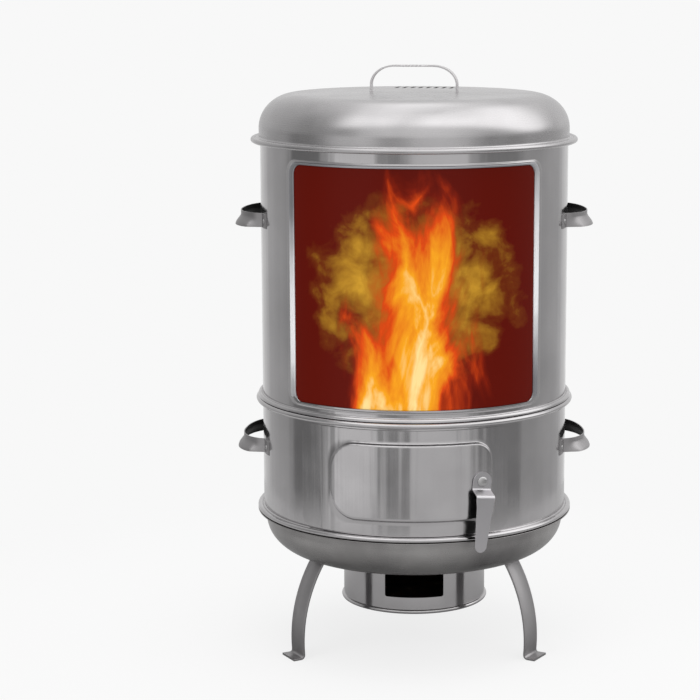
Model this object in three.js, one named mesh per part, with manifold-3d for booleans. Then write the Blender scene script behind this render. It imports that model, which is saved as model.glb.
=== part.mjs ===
// Vertical duck roasting oven for charcoal, in rolled and pressed stainless steel sheet.
// Millimetres, +Z up, standing on the floor at Z = 0, with the oven's axis on the Z axis.
// The front with the picture and the fire door faces -Y.
import * as THREE from 'three';
import { mergeVertices } from 'three/addons/utils/BufferGeometryUtils.js';
import Module from 'manifold-3d';

const wasm = await Module();
wasm.setup();

// Driving dimensions of the whole oven
const bodyRadius = 225;
const shellSheet = 1.2;
const bowlBottomHeight = 141.4;
const baseHeight = 171.3;
const barrelHeight = 379;

// Clearances, and how far a cutter runs past what it cuts
const seatGap = 0.3;
const slideGap = 0.8;
const wrapGap = 0.6;
const pinGap = 0.5;
const overrun = 5;

// Counts of flat faces round the shells and along small curves
const wallFacets = 48;
const smallFacets = 32;
const cornerSteps = 4;
const rodSides = 6;
const ringFacets = 36;

// Rolled beads, as the radius of each roll's round section
const seamBead = 4.75;
const lowBead = 4.4;
const topBead = 2.9;
const beadNeck = 0.2;

// Fire bowl
const bowlWallInset = 3.6;
const bowlWallRadius = bodyRadius - bowlWallInset;
const bowlWallHeight = 12;
const bowlCornerReach = 60.4;
const bowlCornerHeight = 51;
const bowlFloorRadius = bowlWallRadius - bowlCornerReach;
const bowlFloorFall = 3;
const bowlRimOverhang = 12.5;

// Ash drum
const drumRadius = 106;
const drumDrop = 67;
const drumFlange = 14;
const drumBead = 3.2;
const inletWidth = 86;
const inletHeight = 35;
const inletTopDrop = 15;
const inletCorner = 3;

// Legs
const legWidth = 38;
const legStrip = 3;
const legWaistInset = 27;
const legBowCentre = -20;
const legBowHeight = 25;
const legBow = bodyRadius - legWaistInset - legBowCentre;
const legPadLength = 17;
const legBend = 5;
const legTabInset = 6;

// Locating collar between the base and the barrel
const collarBelow = 21;
const collarAbove = 20;

// Fire door, with its left and right edges as azimuths
const doorLeftAzimuth = -44.6;
const doorRightAzimuth = 35.6;
const doorSheet = 1.2;
const doorGap = 0.9;
const doorLowMargin = 1;
const doorHighMargin = 2.2;
const doorCorner = 16;
const openingSideLap = 26;
const openingLap = 12;
const openingCorner = 12;
const embossLeftMargin = 50.5;
const embossRightMargin = 26;
const embossLowMargin = 18.3;
const embossHighMargin = 17.6;
const embossHeight = 4.2;
const embossDraft = 4;
const embossLeftCorner = 42;
const embossRightCorner = 28;
const doorEdgeSteps = 11;

// Hangers inside the door, and the slope that the door slides down to seat
const hangerWidth = 24;
const hangerSheet = 1.5;
const hangerReach = 26;
const hangerUpright = 12;
const hangerSpread = 20;
const hangerSlope = 10;

// Latch
const latchAzimuth = 24.2;
const latchHeight = 74.5;
const latchLean = 4.5;
const latchStrip = 2;
const latchTabRadius = 14.3;
const latchStandOff = 17;
const latchTabDrop = 11.5;
const latchShelfFall = 6.5;
const latchHang = 98;
const latchGripWidth = 24;
const latchPin = 3;
const latchHead = 6.5;
const latchHeadHeight = 2.4;
const latchSleeve = 6;
const latchSleeveLength = 17;
const tongueWidth = 18;
const tongueLength = 30;
const tongueSheet = 1.5;
const pinFacets = 12;

// Side handles
const handleStripHeight = 20.5;
const handleSheet = 1.5;
const handleReach = 29;
const handleRootAzimuth = 20.5;
const handleTabAzimuth = 27;
const handleBulge = 6.5;
const handleAzimuth = 97.5;
const baseHandleDrop = 60.2;
const barrelHandleDrop = 105.7;

// Picture and its bright surround on the barrel
const pictureHalfAzimuth = 48;
const pictureLowMargin = 16.9;
const pictureHighMargin = 25.8;
const pictureSheet = 0.8;
const pictureCorner = 14;
const surroundSide = 18.5;
const surroundEnd = 6.6;
const surroundSheet = 1;
const surroundLip = 1.4;
const surroundLipWidth = 3;

// Hanging ring, its brackets and the duck hooks
const ringRadius = 150;
const ringRod = 4;
const ringDrop = 51;
const bracketWidth = 22;
const bracketStrip = 3;
const bracketUpright = 40;
const bracketLip = 9;
const bracketAzimuth = 45;
const hookRod = 2.5;
const hookShank = 88;
const hookNeck = 26;
const hookTail = 8;
const prongSpread = 20;
const prongBend = 10;
const prongHeight = 22;

// Charcoal grate, drip pan and trivet
const grateLift = 14;
const grateSheet = 4;
const grateSlotWidth = 9;
const grateSlotInner = 40;
const grateRim = 18;
const grateSlots = 16;
const trivetRadius = 96;
const trivetRod = 3.5;
const trivetHeight = 132;
const trivetSplay = 30;
const panRadius = 122;
const panFloorRadius = 104;
const panHeight = 42;
const panSheet = 1;
const panRim = 5;

// Lid
const lidOverhang = 1.8;
const lidSideRadius = bodyRadius + lidOverhang;
const lidSideTop = 14.3;
const lidCornerReach = 53.8;
const lidCornerHeight = 50.2;
const lidCrownRadius = lidSideRadius - lidCornerReach;
const lidCrownRise = 2.2;
const lidBead = 4;
const lidBeadOverhang = 11.9;
const lidBeadRadius = lidSideRadius + lidBeadOverhang;
const lidBeadDrop = 1.8;
const lidTurn = -8;
const ventCount = 8;
const ventPitch = 11.75;
const ventWidth = 5;
const ventLength = 46;
const ventDistance = 114;
const skirtDrop = 16;
const skirtRise = 15;

// Lid handle
const bailSpan = 126;
const bailHeight = 38;
const bailStrip = 2.5;
const bailWidth = 14;
const bailShoulder = 35;
const bailShoulderFall = 27;
const bailTab = 11;

// Heights that follow from the sizes above
const bowlHoleRadius = drumRadius + slideGap;
const bowlCornerTop = bowlBottomHeight + bowlFloorFall + bowlCornerHeight;
const bowlRimTop = bowlCornerTop + bowlWallHeight;
const bowlRimRadius = bowlWallRadius + bowlRimOverhang;
const baseBottom = bowlRimTop + seatGap;
const baseTop = baseBottom + baseHeight;
const barrelBottom = baseTop + seatGap;
const barrelTop = barrelBottom + barrelHeight;
const lidSeat = barrelTop + seatGap;
const lidCornerBottom = lidSeat + lidSideTop;
const lidCrownBase = lidCornerBottom + lidCornerHeight;
const lidTop = lidCrownBase + lidCrownRise;
const wallInside = bodyRadius - shellSheet;
const facetDegrees = 360 / wallFacets;

const degrees = THREE.MathUtils.degToRad;
const plan = (x, z) => new THREE.Vector2(x, z);

// How far a flat face of this half width must stand back from a faceted wall's corner radius
const flatInset = (halfWidth) => halfWidth * Math.tan(degrees(facetDegrees / 2));

// Azimuths are in degrees and run from the front (-Y) towards the right (+X).
function around(radius, azimuth, z) {
  const angle = degrees(azimuth);
  return new THREE.Vector3(radius * Math.sin(angle), -radius * Math.cos(angle), z);
}

// The shells are regular polygons in plan: this is the point of such a polygon at any azimuth.
function onWall(cornerRadius, azimuth, z) {
  const fromCorner = ((azimuth % facetDegrees) + facetDegrees) % facetDegrees;
  const fromMiddle = degrees(fromCorner - facetDegrees / 2);
  const middleRadius = cornerRadius * Math.cos(degrees(facetDegrees / 2));
  return around(middleRadius / Math.cos(fromMiddle), azimuth, z);
}

function signedVolume(geometry) {
  const position = geometry.attributes.position;
  const index = geometry.index.array;
  const corners = [new THREE.Vector3(), new THREE.Vector3(), new THREE.Vector3()];
  let volume = 0;
  for (let face = 0; face < index.length; face += 3) {
    corners.forEach((corner, i) => corner.fromBufferAttribute(position, index[face + i]));
    volume += corners[0].dot(corners[1].clone().cross(corners[2])) / 6;
  }
  return volume;
}

// Joins shared corners, drops collapsed faces and turns the faces outwards.
function closed(geometry) {
  geometry.deleteAttribute('normal');
  geometry.deleteAttribute('uv');
  const merged = mergeVertices(geometry);
  const faces = [];
  for (let face = 0; face < merged.index.count; face += 3) {
    const corners = [0, 1, 2].map((i) => merged.index.getX(face + i));
    if (new Set(corners).size === 3) faces.push(corners);
  }
  merged.setIndex(faces.flat());
  if (signedVolume(merged) < 0) {
    merged.setIndex(faces.flatMap(([a, b, c]) => [a, c, b]));
  }
  return merged;
}

function toSolid(geometry) {
  const whole = closed(geometry);
  return new wasm.Manifold(new wasm.Mesh({
    numProp: 3,
    vertProperties: Float32Array.from(whole.attributes.position.array),
    triVerts: Uint32Array.from(whole.index.array),
  }));
}

function toGeometry(solid) {
  const mesh = solid.getMesh();
  const geometry = new THREE.BufferGeometry();
  geometry.setAttribute('position', new THREE.BufferAttribute(Float32Array.from(mesh.vertProperties), 3));
  geometry.setIndex(Array.from(mesh.triVerts));
  return geometry;
}

// A closed profile of [radius, z] points turned about the Z axis, with a corner at the front.
function revolve(profile, facets = wallFacets) {
  const loop = [...profile, profile[0]].map(([radius, z]) => plan(radius, z));
  return closed(new THREE.LatheGeometry(loop, facets).rotateX(Math.PI / 2));
}

// The same profile turned about the Y axis, for pins that lie front to back.
function revolveAcross(profile, facets = pinFacets) {
  const loop = [...profile, profile[0]].map(([radius, y]) => plan(radius, y));
  return closed(new THREE.LatheGeometry(loop, facets));
}

// An outline in X and Z, given a thickness along Y from nearY back to farY.
function slabAlongY(outline, nearY, farY) {
  const shape = new THREE.Shape(outline.map(([x, z]) => plan(x, z)));
  const geometry = new THREE.ExtrudeGeometry(shape, { depth: farY - nearY, bevelEnabled: false });
  return closed(geometry.rotateX(Math.PI / 2).translate(0, farY, 0));
}

// A side profile of [distance from the axis, z] points facing the front, with a width along X.
function slabAlongX(profile, width) {
  const shape = new THREE.Shape(profile.map(([reach, z]) => plan(reach, z)));
  const geometry = new THREE.ExtrudeGeometry(shape, { depth: width, bevelEnabled: false });
  geometry.translate(0, 0, -width / 2);
  const toSide = new THREE.Matrix4().makeBasis(
    new THREE.Vector3(0, -1, 0),
    new THREE.Vector3(0, 0, 1),
    new THREE.Vector3(-1, 0, 0),
  );
  return closed(geometry.applyMatrix4(toSide));
}

// Both edges of a strip of even thickness that follows a centre line.
function stripOutline(centreLine, thickness) {
  const points = centreLine.map(([x, z]) => plan(x, z));
  const edge = (side) => points.map((point, i) => {
    const before = points[Math.max(i - 1, 0)];
    const after = points[Math.min(i + 1, points.length - 1)];
    const arriving = (i > 0 ? point.clone().sub(before) : after.clone().sub(point)).normalize();
    const leaving = (point === after ? arriving : after.clone().sub(point)).clone().normalize();
    const along = arriving.clone().add(leaving).normalize();
    const mitre = side * thickness / 2 / along.dot(arriving);
    return [point.x - along.y * mitre, point.y + along.x * mitre];
  });
  return [...edge(1), ...edge(-1).reverse()];
}

// Points of a quarter ellipse, or of any arc of one, about a centre.
function arc(centre, reach, height, from, to, steps = cornerSteps) {
  return Array.from({ length: steps + 1 }, (_, step) => {
    const angle = degrees(THREE.MathUtils.lerp(from, to, step / steps));
    return [centre[0] + reach * Math.cos(angle), centre[1] + height * Math.sin(angle)];
  });
}

// A rounded oblong whose left and right corners are quarter ellipses of [across, up],
// with the same number of points however large it is, so that such outlines can be joined.
function roundedOutline({ left, right, low, high, leftCorner, rightCorner }, edgeSteps = 1) {
  const inLeft = left + leftCorner[0];
  const inRight = right - rightCorner[0];
  const edge = (from, to, z) => Array.from({ length: edgeSteps - 1 }, (_, step) => (
    [THREE.MathUtils.lerp(from, to, (step + 1) / edgeSteps), z]
  ));
  return [
    ...arc([inLeft, low + leftCorner[1]], ...leftCorner, 180, 270),
    ...edge(inLeft, inRight, low),
    ...arc([inRight, low + rightCorner[1]], ...rightCorner, 270, 360),
    ...arc([inRight, high - rightCorner[1]], ...rightCorner, 0, 90),
    ...edge(inRight, inLeft, high),
    ...arc([inLeft, high - leftCorner[1]], ...leftCorner, 90, 180),
  ];
}

// Closed rings of points, each joined to the next. The end rings are closed by capFaces,
// or need none where they collapse onto a line.
function skin(rings, capFaces = []) {
  const count = rings[0].length;
  const last = (rings.length - 1) * count;
  const faces = [];
  for (let start = 0; start < last; start += count) {
    for (let i = 0; i < count; i += 1) {
      const here = start + i;
      const next = start + (i + 1) % count;
      faces.push(here, next, next + count, here, next + count, here + count);
    }
  }
  for (const [a, b, c] of capFaces) {
    faces.push(c, b, a, last + a, last + b, last + c);
  }
  const geometry = new THREE.BufferGeometry();
  const position = rings.flat().flatMap((point) => point.toArray());
  geometry.setAttribute('position', new THREE.Float32BufferAttribute(position, 3));
  geometry.setIndex(faces);
  return closed(geometry);
}

// Triangles that fill a flat outline and wind the way it does.
function fill(outline) {
  const points = outline.map(([x, z]) => plan(x, z));
  const faces = THREE.ShapeUtils.triangulateShape(points, []);
  const [a, b, c] = faces[0].map((i) => points[i]);
  const sameWay = THREE.ShapeUtils.area([a, b, c]) * THREE.ShapeUtils.area(points) > 0;
  return faces.map((face) => (sameWay ? face : [...face].reverse()));
}

// A round rod along points that lie in one plane, square to the given direction.
function rod(points, radius, square) {
  const rings = points.map((point, i) => {
    const before = points[Math.max(i - 1, 0)];
    const after = points[Math.min(i + 1, points.length - 1)];
    const along = after.clone().sub(before).normalize();
    const across = new THREE.Vector3().crossVectors(square, along);
    return Array.from({ length: rodSides }, (_, side) => {
      const angle = degrees(360 * side / rodSides);
      return point.clone()
        .addScaledVector(across, radius * Math.cos(angle))
        .addScaledVector(square, radius * Math.sin(angle));
    });
  });
  const cap = Array.from({ length: rodSides - 2 }, (_, i) => [0, i + 1, i + 2]);
  return skin(rings, cap);
}

// A rolled bead on the outside of a wall, from where it leaves the wall to the sheet's edge.
// up is 1 where the edge is at the top of the bead and -1 where it is at the bottom.
function bead(wallRadius, radius, edgeZ, up) {
  const centre = [wallRadius + beadNeck + radius, edgeZ - up * radius];
  const start = [wallRadius, edgeZ - 2 * up * radius];
  return [start, ...arc(centre, radius, up * radius, -135, 90)];
}

function mesh(name, geometry, material, azimuth = 0) {
  const result = new THREE.Mesh(geometry, material);
  result.name = name;
  result.rotation.z = degrees(azimuth);
  return result;
}

function steel(color, roughness) {
  return new THREE.MeshStandardMaterial({ color, roughness, metalness: 1, flatShading: true });
}

const satinSteel = steel(0xb4b3b6, 0.34);
const brushedSteel = steel(0xa6a5a8, 0.42);
const brightSteel = steel(0xdfe6ec, 0.18);
const platedWire = steel(0x9a9a9c, 0.4);
const firedSteel = steel(0x4a4745, 0.7);
const enamel = new THREE.MeshStandardMaterial({ color: 0x5a0f06, roughness: 0.35, metalness: 0 });

// Stand

const bowlOutside = [
  [bowlHoleRadius, bowlBottomHeight],
  ...arc(
    [bowlFloorRadius, bowlCornerTop],
    bowlWallRadius - bowlFloorRadius,
    bowlCornerHeight,
    -90,
    0,
  ),
];
const bowlInside = [
  [bowlHoleRadius, bowlBottomHeight + shellSheet],
  ...arc(
    [bowlFloorRadius, bowlCornerTop],
    bowlWallRadius - bowlFloorRadius - shellSheet,
    bowlCornerHeight - shellSheet,
    -90,
    0,
  ),
];

// The height of one of the bowl's two profiles at a radius, or its radius at a height
function alongProfile(profile, from, to, value) {
  const end = profile.findIndex((point, i) => i > 0 && point[from] >= value);
  const [a, b] = [profile[end - 1], profile[end]];
  return THREE.MathUtils.mapLinear(value, a[from], b[from], a[to], b[to]);
}

function fireBowl() {
  const underRim = bowlRimTop - shellSheet;
  return revolve([
    ...bowlOutside,
    [bowlWallRadius, underRim],
    [bowlRimRadius, underRim],
    [bowlRimRadius, bowlRimTop],
    [bowlWallRadius - shellSheet, bowlRimTop],
    ...[...bowlInside].reverse(),
  ]);
}

// The drum hangs in the bowl's hole by a flange that lies on the bowl's sloping floor.
function ashDrum() {
  const slope = bowlFloorFall / (bowlFloorRadius - bowlHoleRadius);
  const flangeUnder = bowlBottomHeight + shellSheet + seatGap;
  const flangeRadius = drumRadius + drumFlange;
  const flangeRise = slope * drumFlange;
  const inside = drumRadius - shellSheet;
  const roll = arc([drumRadius, drumDrop + drumBead], drumBead, drumBead, -90, 90, 3);
  const shell = toSolid(revolve([
    [0, drumDrop],
    ...roll,
    [drumRadius, flangeUnder],
    [flangeRadius, flangeUnder + flangeRise],
    [flangeRadius, flangeUnder + flangeRise + shellSheet],
    [inside, flangeUnder + shellSheet],
    [inside, drumDrop + shellSheet],
    [0, drumDrop + shellSheet],
  ], smallFacets));
  const inletTop = bowlBottomHeight - inletTopDrop;
  const inlet = roundedOutline({
    left: -inletWidth / 2,
    right: inletWidth / 2,
    low: inletTop - inletHeight,
    high: inletTop,
    leftCorner: [inletCorner, inletCorner],
    rightCorner: [inletCorner, inletCorner],
  });
  return toGeometry(shell.subtract(toSolid(slabAlongY(inlet, -drumRadius - overrun, 0))));
}

// A flat strip: a foot turned out on the floor, a long bow, and a tab under the bowl's floor.
function leg() {
  const underBowl = (radius) => (
    alongProfile(bowlOutside, 0, 1, radius) - seatGap - legStrip / 2
  );
  const bowAngle = (z) => Math.asin((z - legBowHeight) / legBow);
  let topAngle = bowAngle(bowlBottomHeight);
  for (let pass = 0; pass < 4; pass += 1) {
    topAngle = bowAngle(underBowl(legBowCentre + legBow * Math.cos(topAngle)));
  }
  const topDegrees = THREE.MathUtils.radToDeg(topAngle);
  const startAngle = bowAngle(legStrip + legBend);
  const startDegrees = THREE.MathUtils.radToDeg(startAngle);
  const footRadius = legBowCentre + legBow * Math.cos(startAngle);
  const tabRadius = bowlHoleRadius + legTabInset;
  const topRadius = legBowCentre + legBow * Math.cos(topAngle);
  const alongBowl = bowlOutside.map(([radius]) => radius)
    .filter((radius) => radius > tabRadius && radius < topRadius - legStrip)
    .reverse();
  const centreLine = [
    [footRadius + legPadLength, legStrip / 2],
    ...arc([footRadius + legBend, legStrip / 2 + legBend], legBend, legBend, 270, 180, 3),
    ...arc([legBowCentre, legBowHeight], legBow, legBow, startDegrees, topDegrees, 7),
    ...[...alongBowl, tabRadius].map((radius) => [radius, underBowl(radius)]),
  ];
  return slabAlongX(stripOutline(centreLine, legStrip), legWidth);
}

function baseShell() {
  const wall = toSolid(revolve([
    [wallInside, baseBottom],
    ...bead(bodyRadius, lowBead, baseBottom, -1).reverse(),
    ...bead(bodyRadius, seamBead, baseTop, 1),
    [wallInside, baseTop],
  ]));
  const opening = doorOpening();
  const outline = roundedOutline({
    left: bodyRadius * Math.sin(degrees(opening.left)),
    right: bodyRadius * Math.sin(degrees(opening.right)),
    low: opening.low,
    high: opening.high,
    leftCorner: [openingCorner, openingCorner],
    rightCorner: [openingCorner, openingCorner],
  });
  return toGeometry(wall.subtract(toSolid(slabAlongY(outline, -bodyRadius - overrun, 0))));
}

function locatingCollar() {
  const outside = wallInside - slideGap;
  const inside = outside - shellSheet;
  return revolve([
    [inside, baseTop - collarBelow],
    [outside, baseTop - collarBelow],
    [outside, baseTop + collarAbove],
    [inside, baseTop + collarAbove],
  ]);
}

// Side handles: a strip riveted to the wall by its two ends and bowed out between them.
// Its lower half is pressed outwards, so it is narrow at the top and full at the bottom.
function sideHandle(topZ) {
  const heightShares = [0, 0.34, 0.6, 0.73, 1];
  const bulgeShares = [0, 0, 1, 1, 0.55];
  const loopShares = [[0.95, 0.3], [0.82, 0.6], [0.6, 0.84], [0.3, 0.97]];
  const seatRadius = bodyRadius + wrapGap;
  const ridge = Math.round(handleTabAzimuth / facetDegrees - 1 / 2) * facetDegrees;
  const seated = [handleTabAzimuth, ridge, handleRootAzimuth].map((azimuth) => {
    const point = onWall(seatRadius, azimuth, 0);
    return { across: point.x, out: -point.y, bulge: 0 };
  });
  const root = seated[seated.length - 1];
  const loop = loopShares.map(([acrossShare, outShare]) => ({
    across: root.across * acrossShare,
    out: THREE.MathUtils.lerp(root.out, bodyRadius + handleReach, outShare),
    bulge: 1,
  }));
  const right = [...seated, ...loop];
  const left = right.map(({ across, out, bulge }) => ({ across: -across, out, bulge })).reverse();
  const middle = { across: 0, out: bodyRadius + handleReach, bulge: 1 };
  const stations = [...right, middle, ...left];
  const rings = stations.map((station, i) => {
    const before = stations[Math.max(i - 1, 0)];
    const after = stations[Math.min(i + 1, stations.length - 1)];
    const along = plan(after.across - before.across, after.out - before.out).normalize();
    const face = (depth, share) => heightShares.map((heightShare, k) => {
      const push = depth + handleBulge * station.bulge * bulgeShares[k] * share;
      const x = station.across + along.y * push;
      const y = station.out - along.x * push;
      return new THREE.Vector3(x, -y, topZ - handleStripHeight * heightShare);
    });
    return [...face(0, 1), ...face(handleSheet, 1).reverse()];
  });
  const section = [
    ...heightShares.map((share) => [0, -share]),
    ...heightShares.map((share) => [1, -share]).reverse(),
  ];
  return skin(rings, fill(section));
}

// Fire door

const degreesPerLength = 180 / Math.PI / bodyRadius;
const doorLow = baseBottom + 2 * lowBead + doorLowMargin;
const doorHigh = baseTop - 2 * seamBead - doorHighMargin;
const doorInside = bodyRadius + doorGap;
const doorFace = doorInside + doorSheet;

function doorOpening() {
  const lap = openingSideLap * degreesPerLength;
  return {
    left: doorLeftAzimuth + lap,
    right: doorRightAzimuth - lap,
    low: doorLow + openingLap,
    high: doorHigh - openingLap,
  };
}

const inDegrees = (corner) => [corner * degreesPerLength, corner];

// The edge of the door, then the foot and the shoulder of its raised panel
function doorOutlines() {
  const edge = {
    left: doorLeftAzimuth,
    right: doorRightAzimuth,
    low: doorLow,
    high: doorHigh,
    leftCorner: inDegrees(doorCorner),
    rightCorner: inDegrees(doorCorner),
  };
  const raised = (inset) => ({
    left: doorLeftAzimuth + (embossLeftMargin + inset) * degreesPerLength,
    right: doorRightAzimuth - (embossRightMargin + inset) * degreesPerLength,
    low: doorLow + embossLowMargin + inset,
    high: doorHigh - embossHighMargin - inset,
    leftCorner: inDegrees(embossLeftCorner - inset),
    rightCorner: inDegrees(embossRightCorner - inset),
  });
  return [edge, raised(0), raised(embossDraft)];
}

// The door is one pressed sheet. Each face is a set of outlines wrapped round the wall,
// which shrink onto a level line along the middle of the raised panel.
function fireDoor() {
  const outlines = doorOutlines();
  const marginSteps = 4;
  const shoulder = outlines[outlines.length - 1];
  const spineLeft = shoulder.left + shoulder.leftCorner[0];
  const spineRight = shoulder.right - shoulder.rightCorner[0];
  const middleZ = (shoulder.low + shoulder.high) / 2;
  const [edge, foot, brow] = outlines.map((outline) => roundedOutline(outline, doorEdgeSteps));
  const margin = Array.from({ length: marginSteps }, (_, step) => edge.map((point, i) => (
    point.map((value, k) => THREE.MathUtils.lerp(value, foot[i][k], step / marginSteps))
  )));
  const spine = brow.map(([azimuth]) => (
    [THREE.MathUtils.clamp(azimuth, spineLeft, spineRight), middleZ]
  ));
  const wrapped = (levels, radius) => levels.map((level) => (
    level.map(([azimuth, z]) => around(radius, azimuth, z))
  ));
  const face = (radius) => [
    ...wrapped([...margin, foot], radius),
    ...wrapped([brow, spine], radius + embossHeight),
  ];
  const pressed = toSolid(skin([...face(doorInside).reverse(), ...face(doorFace)]));
  const hole = pinHole(-raisedFace - overrun, -doorInside + overrun);
  return toGeometry(pressed.subtract(toSolid(hole.rotateZ(degrees(latchAzimuth)))));
}

// Two tongues inside the door. They pass over the lower edge of the opening and slope down
// behind the wall, so the door's own weight draws it in.
function doorHanger() {
  const upright = doorInside - flatInset(hangerWidth / 2) - seatGap - hangerSheet / 2;
  const wallBack = wallInside - flatInset(hangerWidth / 2);
  const slope = Math.tan(degrees(hangerSlope));
  const passZ = doorOpening().low + seatGap + hangerSheet / 2;
  const crossing = (reach) => passZ + (reach - wallBack) * slope + hangerSheet * slope;
  return slabAlongX(stripOutline([
    [upright, crossing(upright) + hangerUpright],
    [upright, crossing(upright)],
    [wallBack - hangerReach, crossing(wallBack - hangerReach)],
  ], hangerSheet), hangerWidth);
}

// Latch, built at the front and turned to its azimuth

const latchCentreZ = doorLow + latchHeight;
const raisedFace = doorFace + embossHeight;
const raisedInside = doorInside + embossHeight;
const tabBack = raisedFace + seatGap;
const tabFront = tabBack + latchStrip;
const sleeveFront = raisedInside - flatInset(latchSleeve) - pinGap - seatGap;
const sleeveBack = sleeveFront - latchSleeveLength;
const tongueFront = sleeveBack - seatGap;
const tongueBack = tongueFront - tongueSheet;

const pinHole = (nearY, farY) => slabAlongY(
  arc([0, latchCentreZ], latchPin + pinGap, latchPin + pinGap, 0, 360, pinFacets).slice(1),
  nearY,
  farY,
);

function leaned(geometry) {
  return geometry
    .translate(0, 0, -latchCentreZ)
    .rotateY(degrees(latchLean))
    .translate(0, 0, latchCentreZ);
}

function latchHandle() {
  const middle = tabBack + latchStrip / 2;
  const gripReach = middle + latchStandOff;
  const bendZ = latchCentreZ - latchTabDrop;
  const tipZ = latchCentreZ - latchHang;
  const side = slabAlongX(stripOutline([
    [middle, latchCentreZ + latchTabRadius + overrun],
    [middle, bendZ],
    [gripReach, bendZ - latchShelfFall],
    [gripReach, tipZ - overrun],
  ], latchStrip), 2 * (latchTabRadius + overrun));
  const gripRadius = latchGripWidth / 2;
  const front = [
    ...arc([0, latchCentreZ], latchTabRadius, latchTabRadius, 0, 180, 8),
    [-latchTabRadius, bendZ - 2 * latchShelfFall],
    [-gripRadius, bendZ - 3 * latchShelfFall],
    ...arc([0, tipZ + gripRadius], gripRadius, gripRadius, 180, 360, 6),
    [gripRadius, bendZ - 3 * latchShelfFall],
    [latchTabRadius, bendZ - 2 * latchShelfFall],
  ];
  const nearY = -gripReach - overrun;
  const blank = toSolid(side).intersect(toSolid(slabAlongY(front, nearY, 0)));
  return leaned(toGeometry(blank.subtract(toSolid(pinHole(nearY, 0)))));
}

function latchSpindle() {
  const headBack = tabFront + seatGap;
  const tailFront = tongueBack - seatGap;
  const dome = arc([0, -headBack], latchHead, -latchHeadHeight, 90, 0, 3);
  const pin = revolveAcross([
    ...dome,
    [latchPin, -headBack],
    [latchPin, -tailFront],
    [latchHead, -tailFront],
    [latchHead, -tailFront + latchHeadHeight / 2],
    [0, -tailFront + latchHeadHeight / 2],
  ]);
  return pin.translate(0, 0, latchCentreZ);
}

function latchSleeveTube() {
  return revolveAcross([
    [latchPin + pinGap, -sleeveFront],
    [latchSleeve, -sleeveFront],
    [latchSleeve, -sleeveBack],
    [latchPin + pinGap, -sleeveBack],
  ]).translate(0, 0, latchCentreZ);
}

function latchTongue() {
  const radius = tongueWidth / 2;
  const tip = latchCentreZ - tongueLength + radius;
  const outline = [
    ...arc([0, latchCentreZ], radius, radius, 0, 180, 6),
    ...arc([0, tip], radius, radius, 180, 360, 6),
  ];
  const blank = toSolid(slabAlongY(outline, -tongueFront, -tongueBack));
  const hole = toSolid(pinHole(-tongueFront - overrun, -tongueBack + overrun));
  return leaned(toGeometry(blank.subtract(hole)));
}

// Barrel

function barrelShell() {
  return revolve([
    [wallInside, barrelBottom],
    ...bead(bodyRadius, seamBead, barrelBottom, -1).reverse(),
    ...bead(bodyRadius, topBead, barrelTop, 1),
    [wallInside, barrelTop],
  ]);
}

// A plate rolled to the barrel and trimmed to an outline seen from the front
function rolledPlate(outline, innerRadius, thickness) {
  const heights = outline.map(([, z]) => z);
  const low = Math.min(...heights) - overrun;
  const high = Math.max(...heights) + overrun;
  const outer = innerRadius + thickness;
  const tube = revolve([[innerRadius, low], [outer, low], [outer, high], [innerRadius, high]]);
  return toSolid(tube).intersect(toSolid(slabAlongY(outline, -outer - overrun, 0)));
}

// The picture's outline, grown all round by an amount across and an amount up
function pictureOutline(growAcross, growUp) {
  const azimuth = degrees(pictureHalfAzimuth + growAcross * degreesPerLength);
  const halfWidth = bodyRadius * Math.sin(azimuth);
  const up = pictureCorner + growUp;
  const across = up * Math.cos(azimuth);
  return roundedOutline({
    left: -halfWidth,
    right: halfWidth,
    low: barrelBottom + pictureLowMargin - growUp,
    high: barrelTop - pictureHighMargin + growUp,
    leftCorner: [across, up],
    rightCorner: [across, up],
  });
}

function picturePanel() {
  const outline = pictureOutline(-seatGap, -seatGap);
  return toGeometry(rolledPlate(outline, bodyRadius + wrapGap, pictureSheet));
}

function pictureSurround() {
  const inner = bodyRadius + wrapGap;
  const flange = rolledPlate(pictureOutline(surroundSide, surroundEnd), inner, surroundSheet);
  const lipOutline = pictureOutline(surroundLipWidth, surroundLipWidth);
  const lip = rolledPlate(lipOutline, inner, surroundSheet + surroundLip);
  const nearY = -inner - surroundSheet - surroundLip - overrun;
  return toGeometry(flange.add(lip).subtract(toSolid(slabAlongY(pictureOutline(0, 0), nearY, 0))));
}

// Ring, brackets and hooks

const ringZ = barrelTop - ringDrop;

function ringBracket() {
  const upright = wallInside - flatInset(bracketWidth / 2) - seatGap - bracketStrip / 2;
  const armZ = ringZ - ringRod - seatGap - bracketStrip / 2;
  const ringInside = (ringRadius - ringRod) * Math.cos(Math.PI / ringFacets);
  const lipFace = Math.sqrt(ringInside ** 2 - (bracketWidth / 2) ** 2) - seatGap;
  const lipReach = lipFace - bracketStrip / 2;
  return slabAlongX(stripOutline([
    [upright, armZ - bracketUpright],
    [upright, armZ],
    [lipReach, armZ],
    [lipReach, armZ + bracketLip],
  ], bracketStrip), bracketWidth);
}

function hangingRing() {
  const ring = new THREE.TorusGeometry(ringRadius, ringRod, rodSides, ringFacets);
  return closed(ring.translate(0, 0, ringZ));
}

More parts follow.
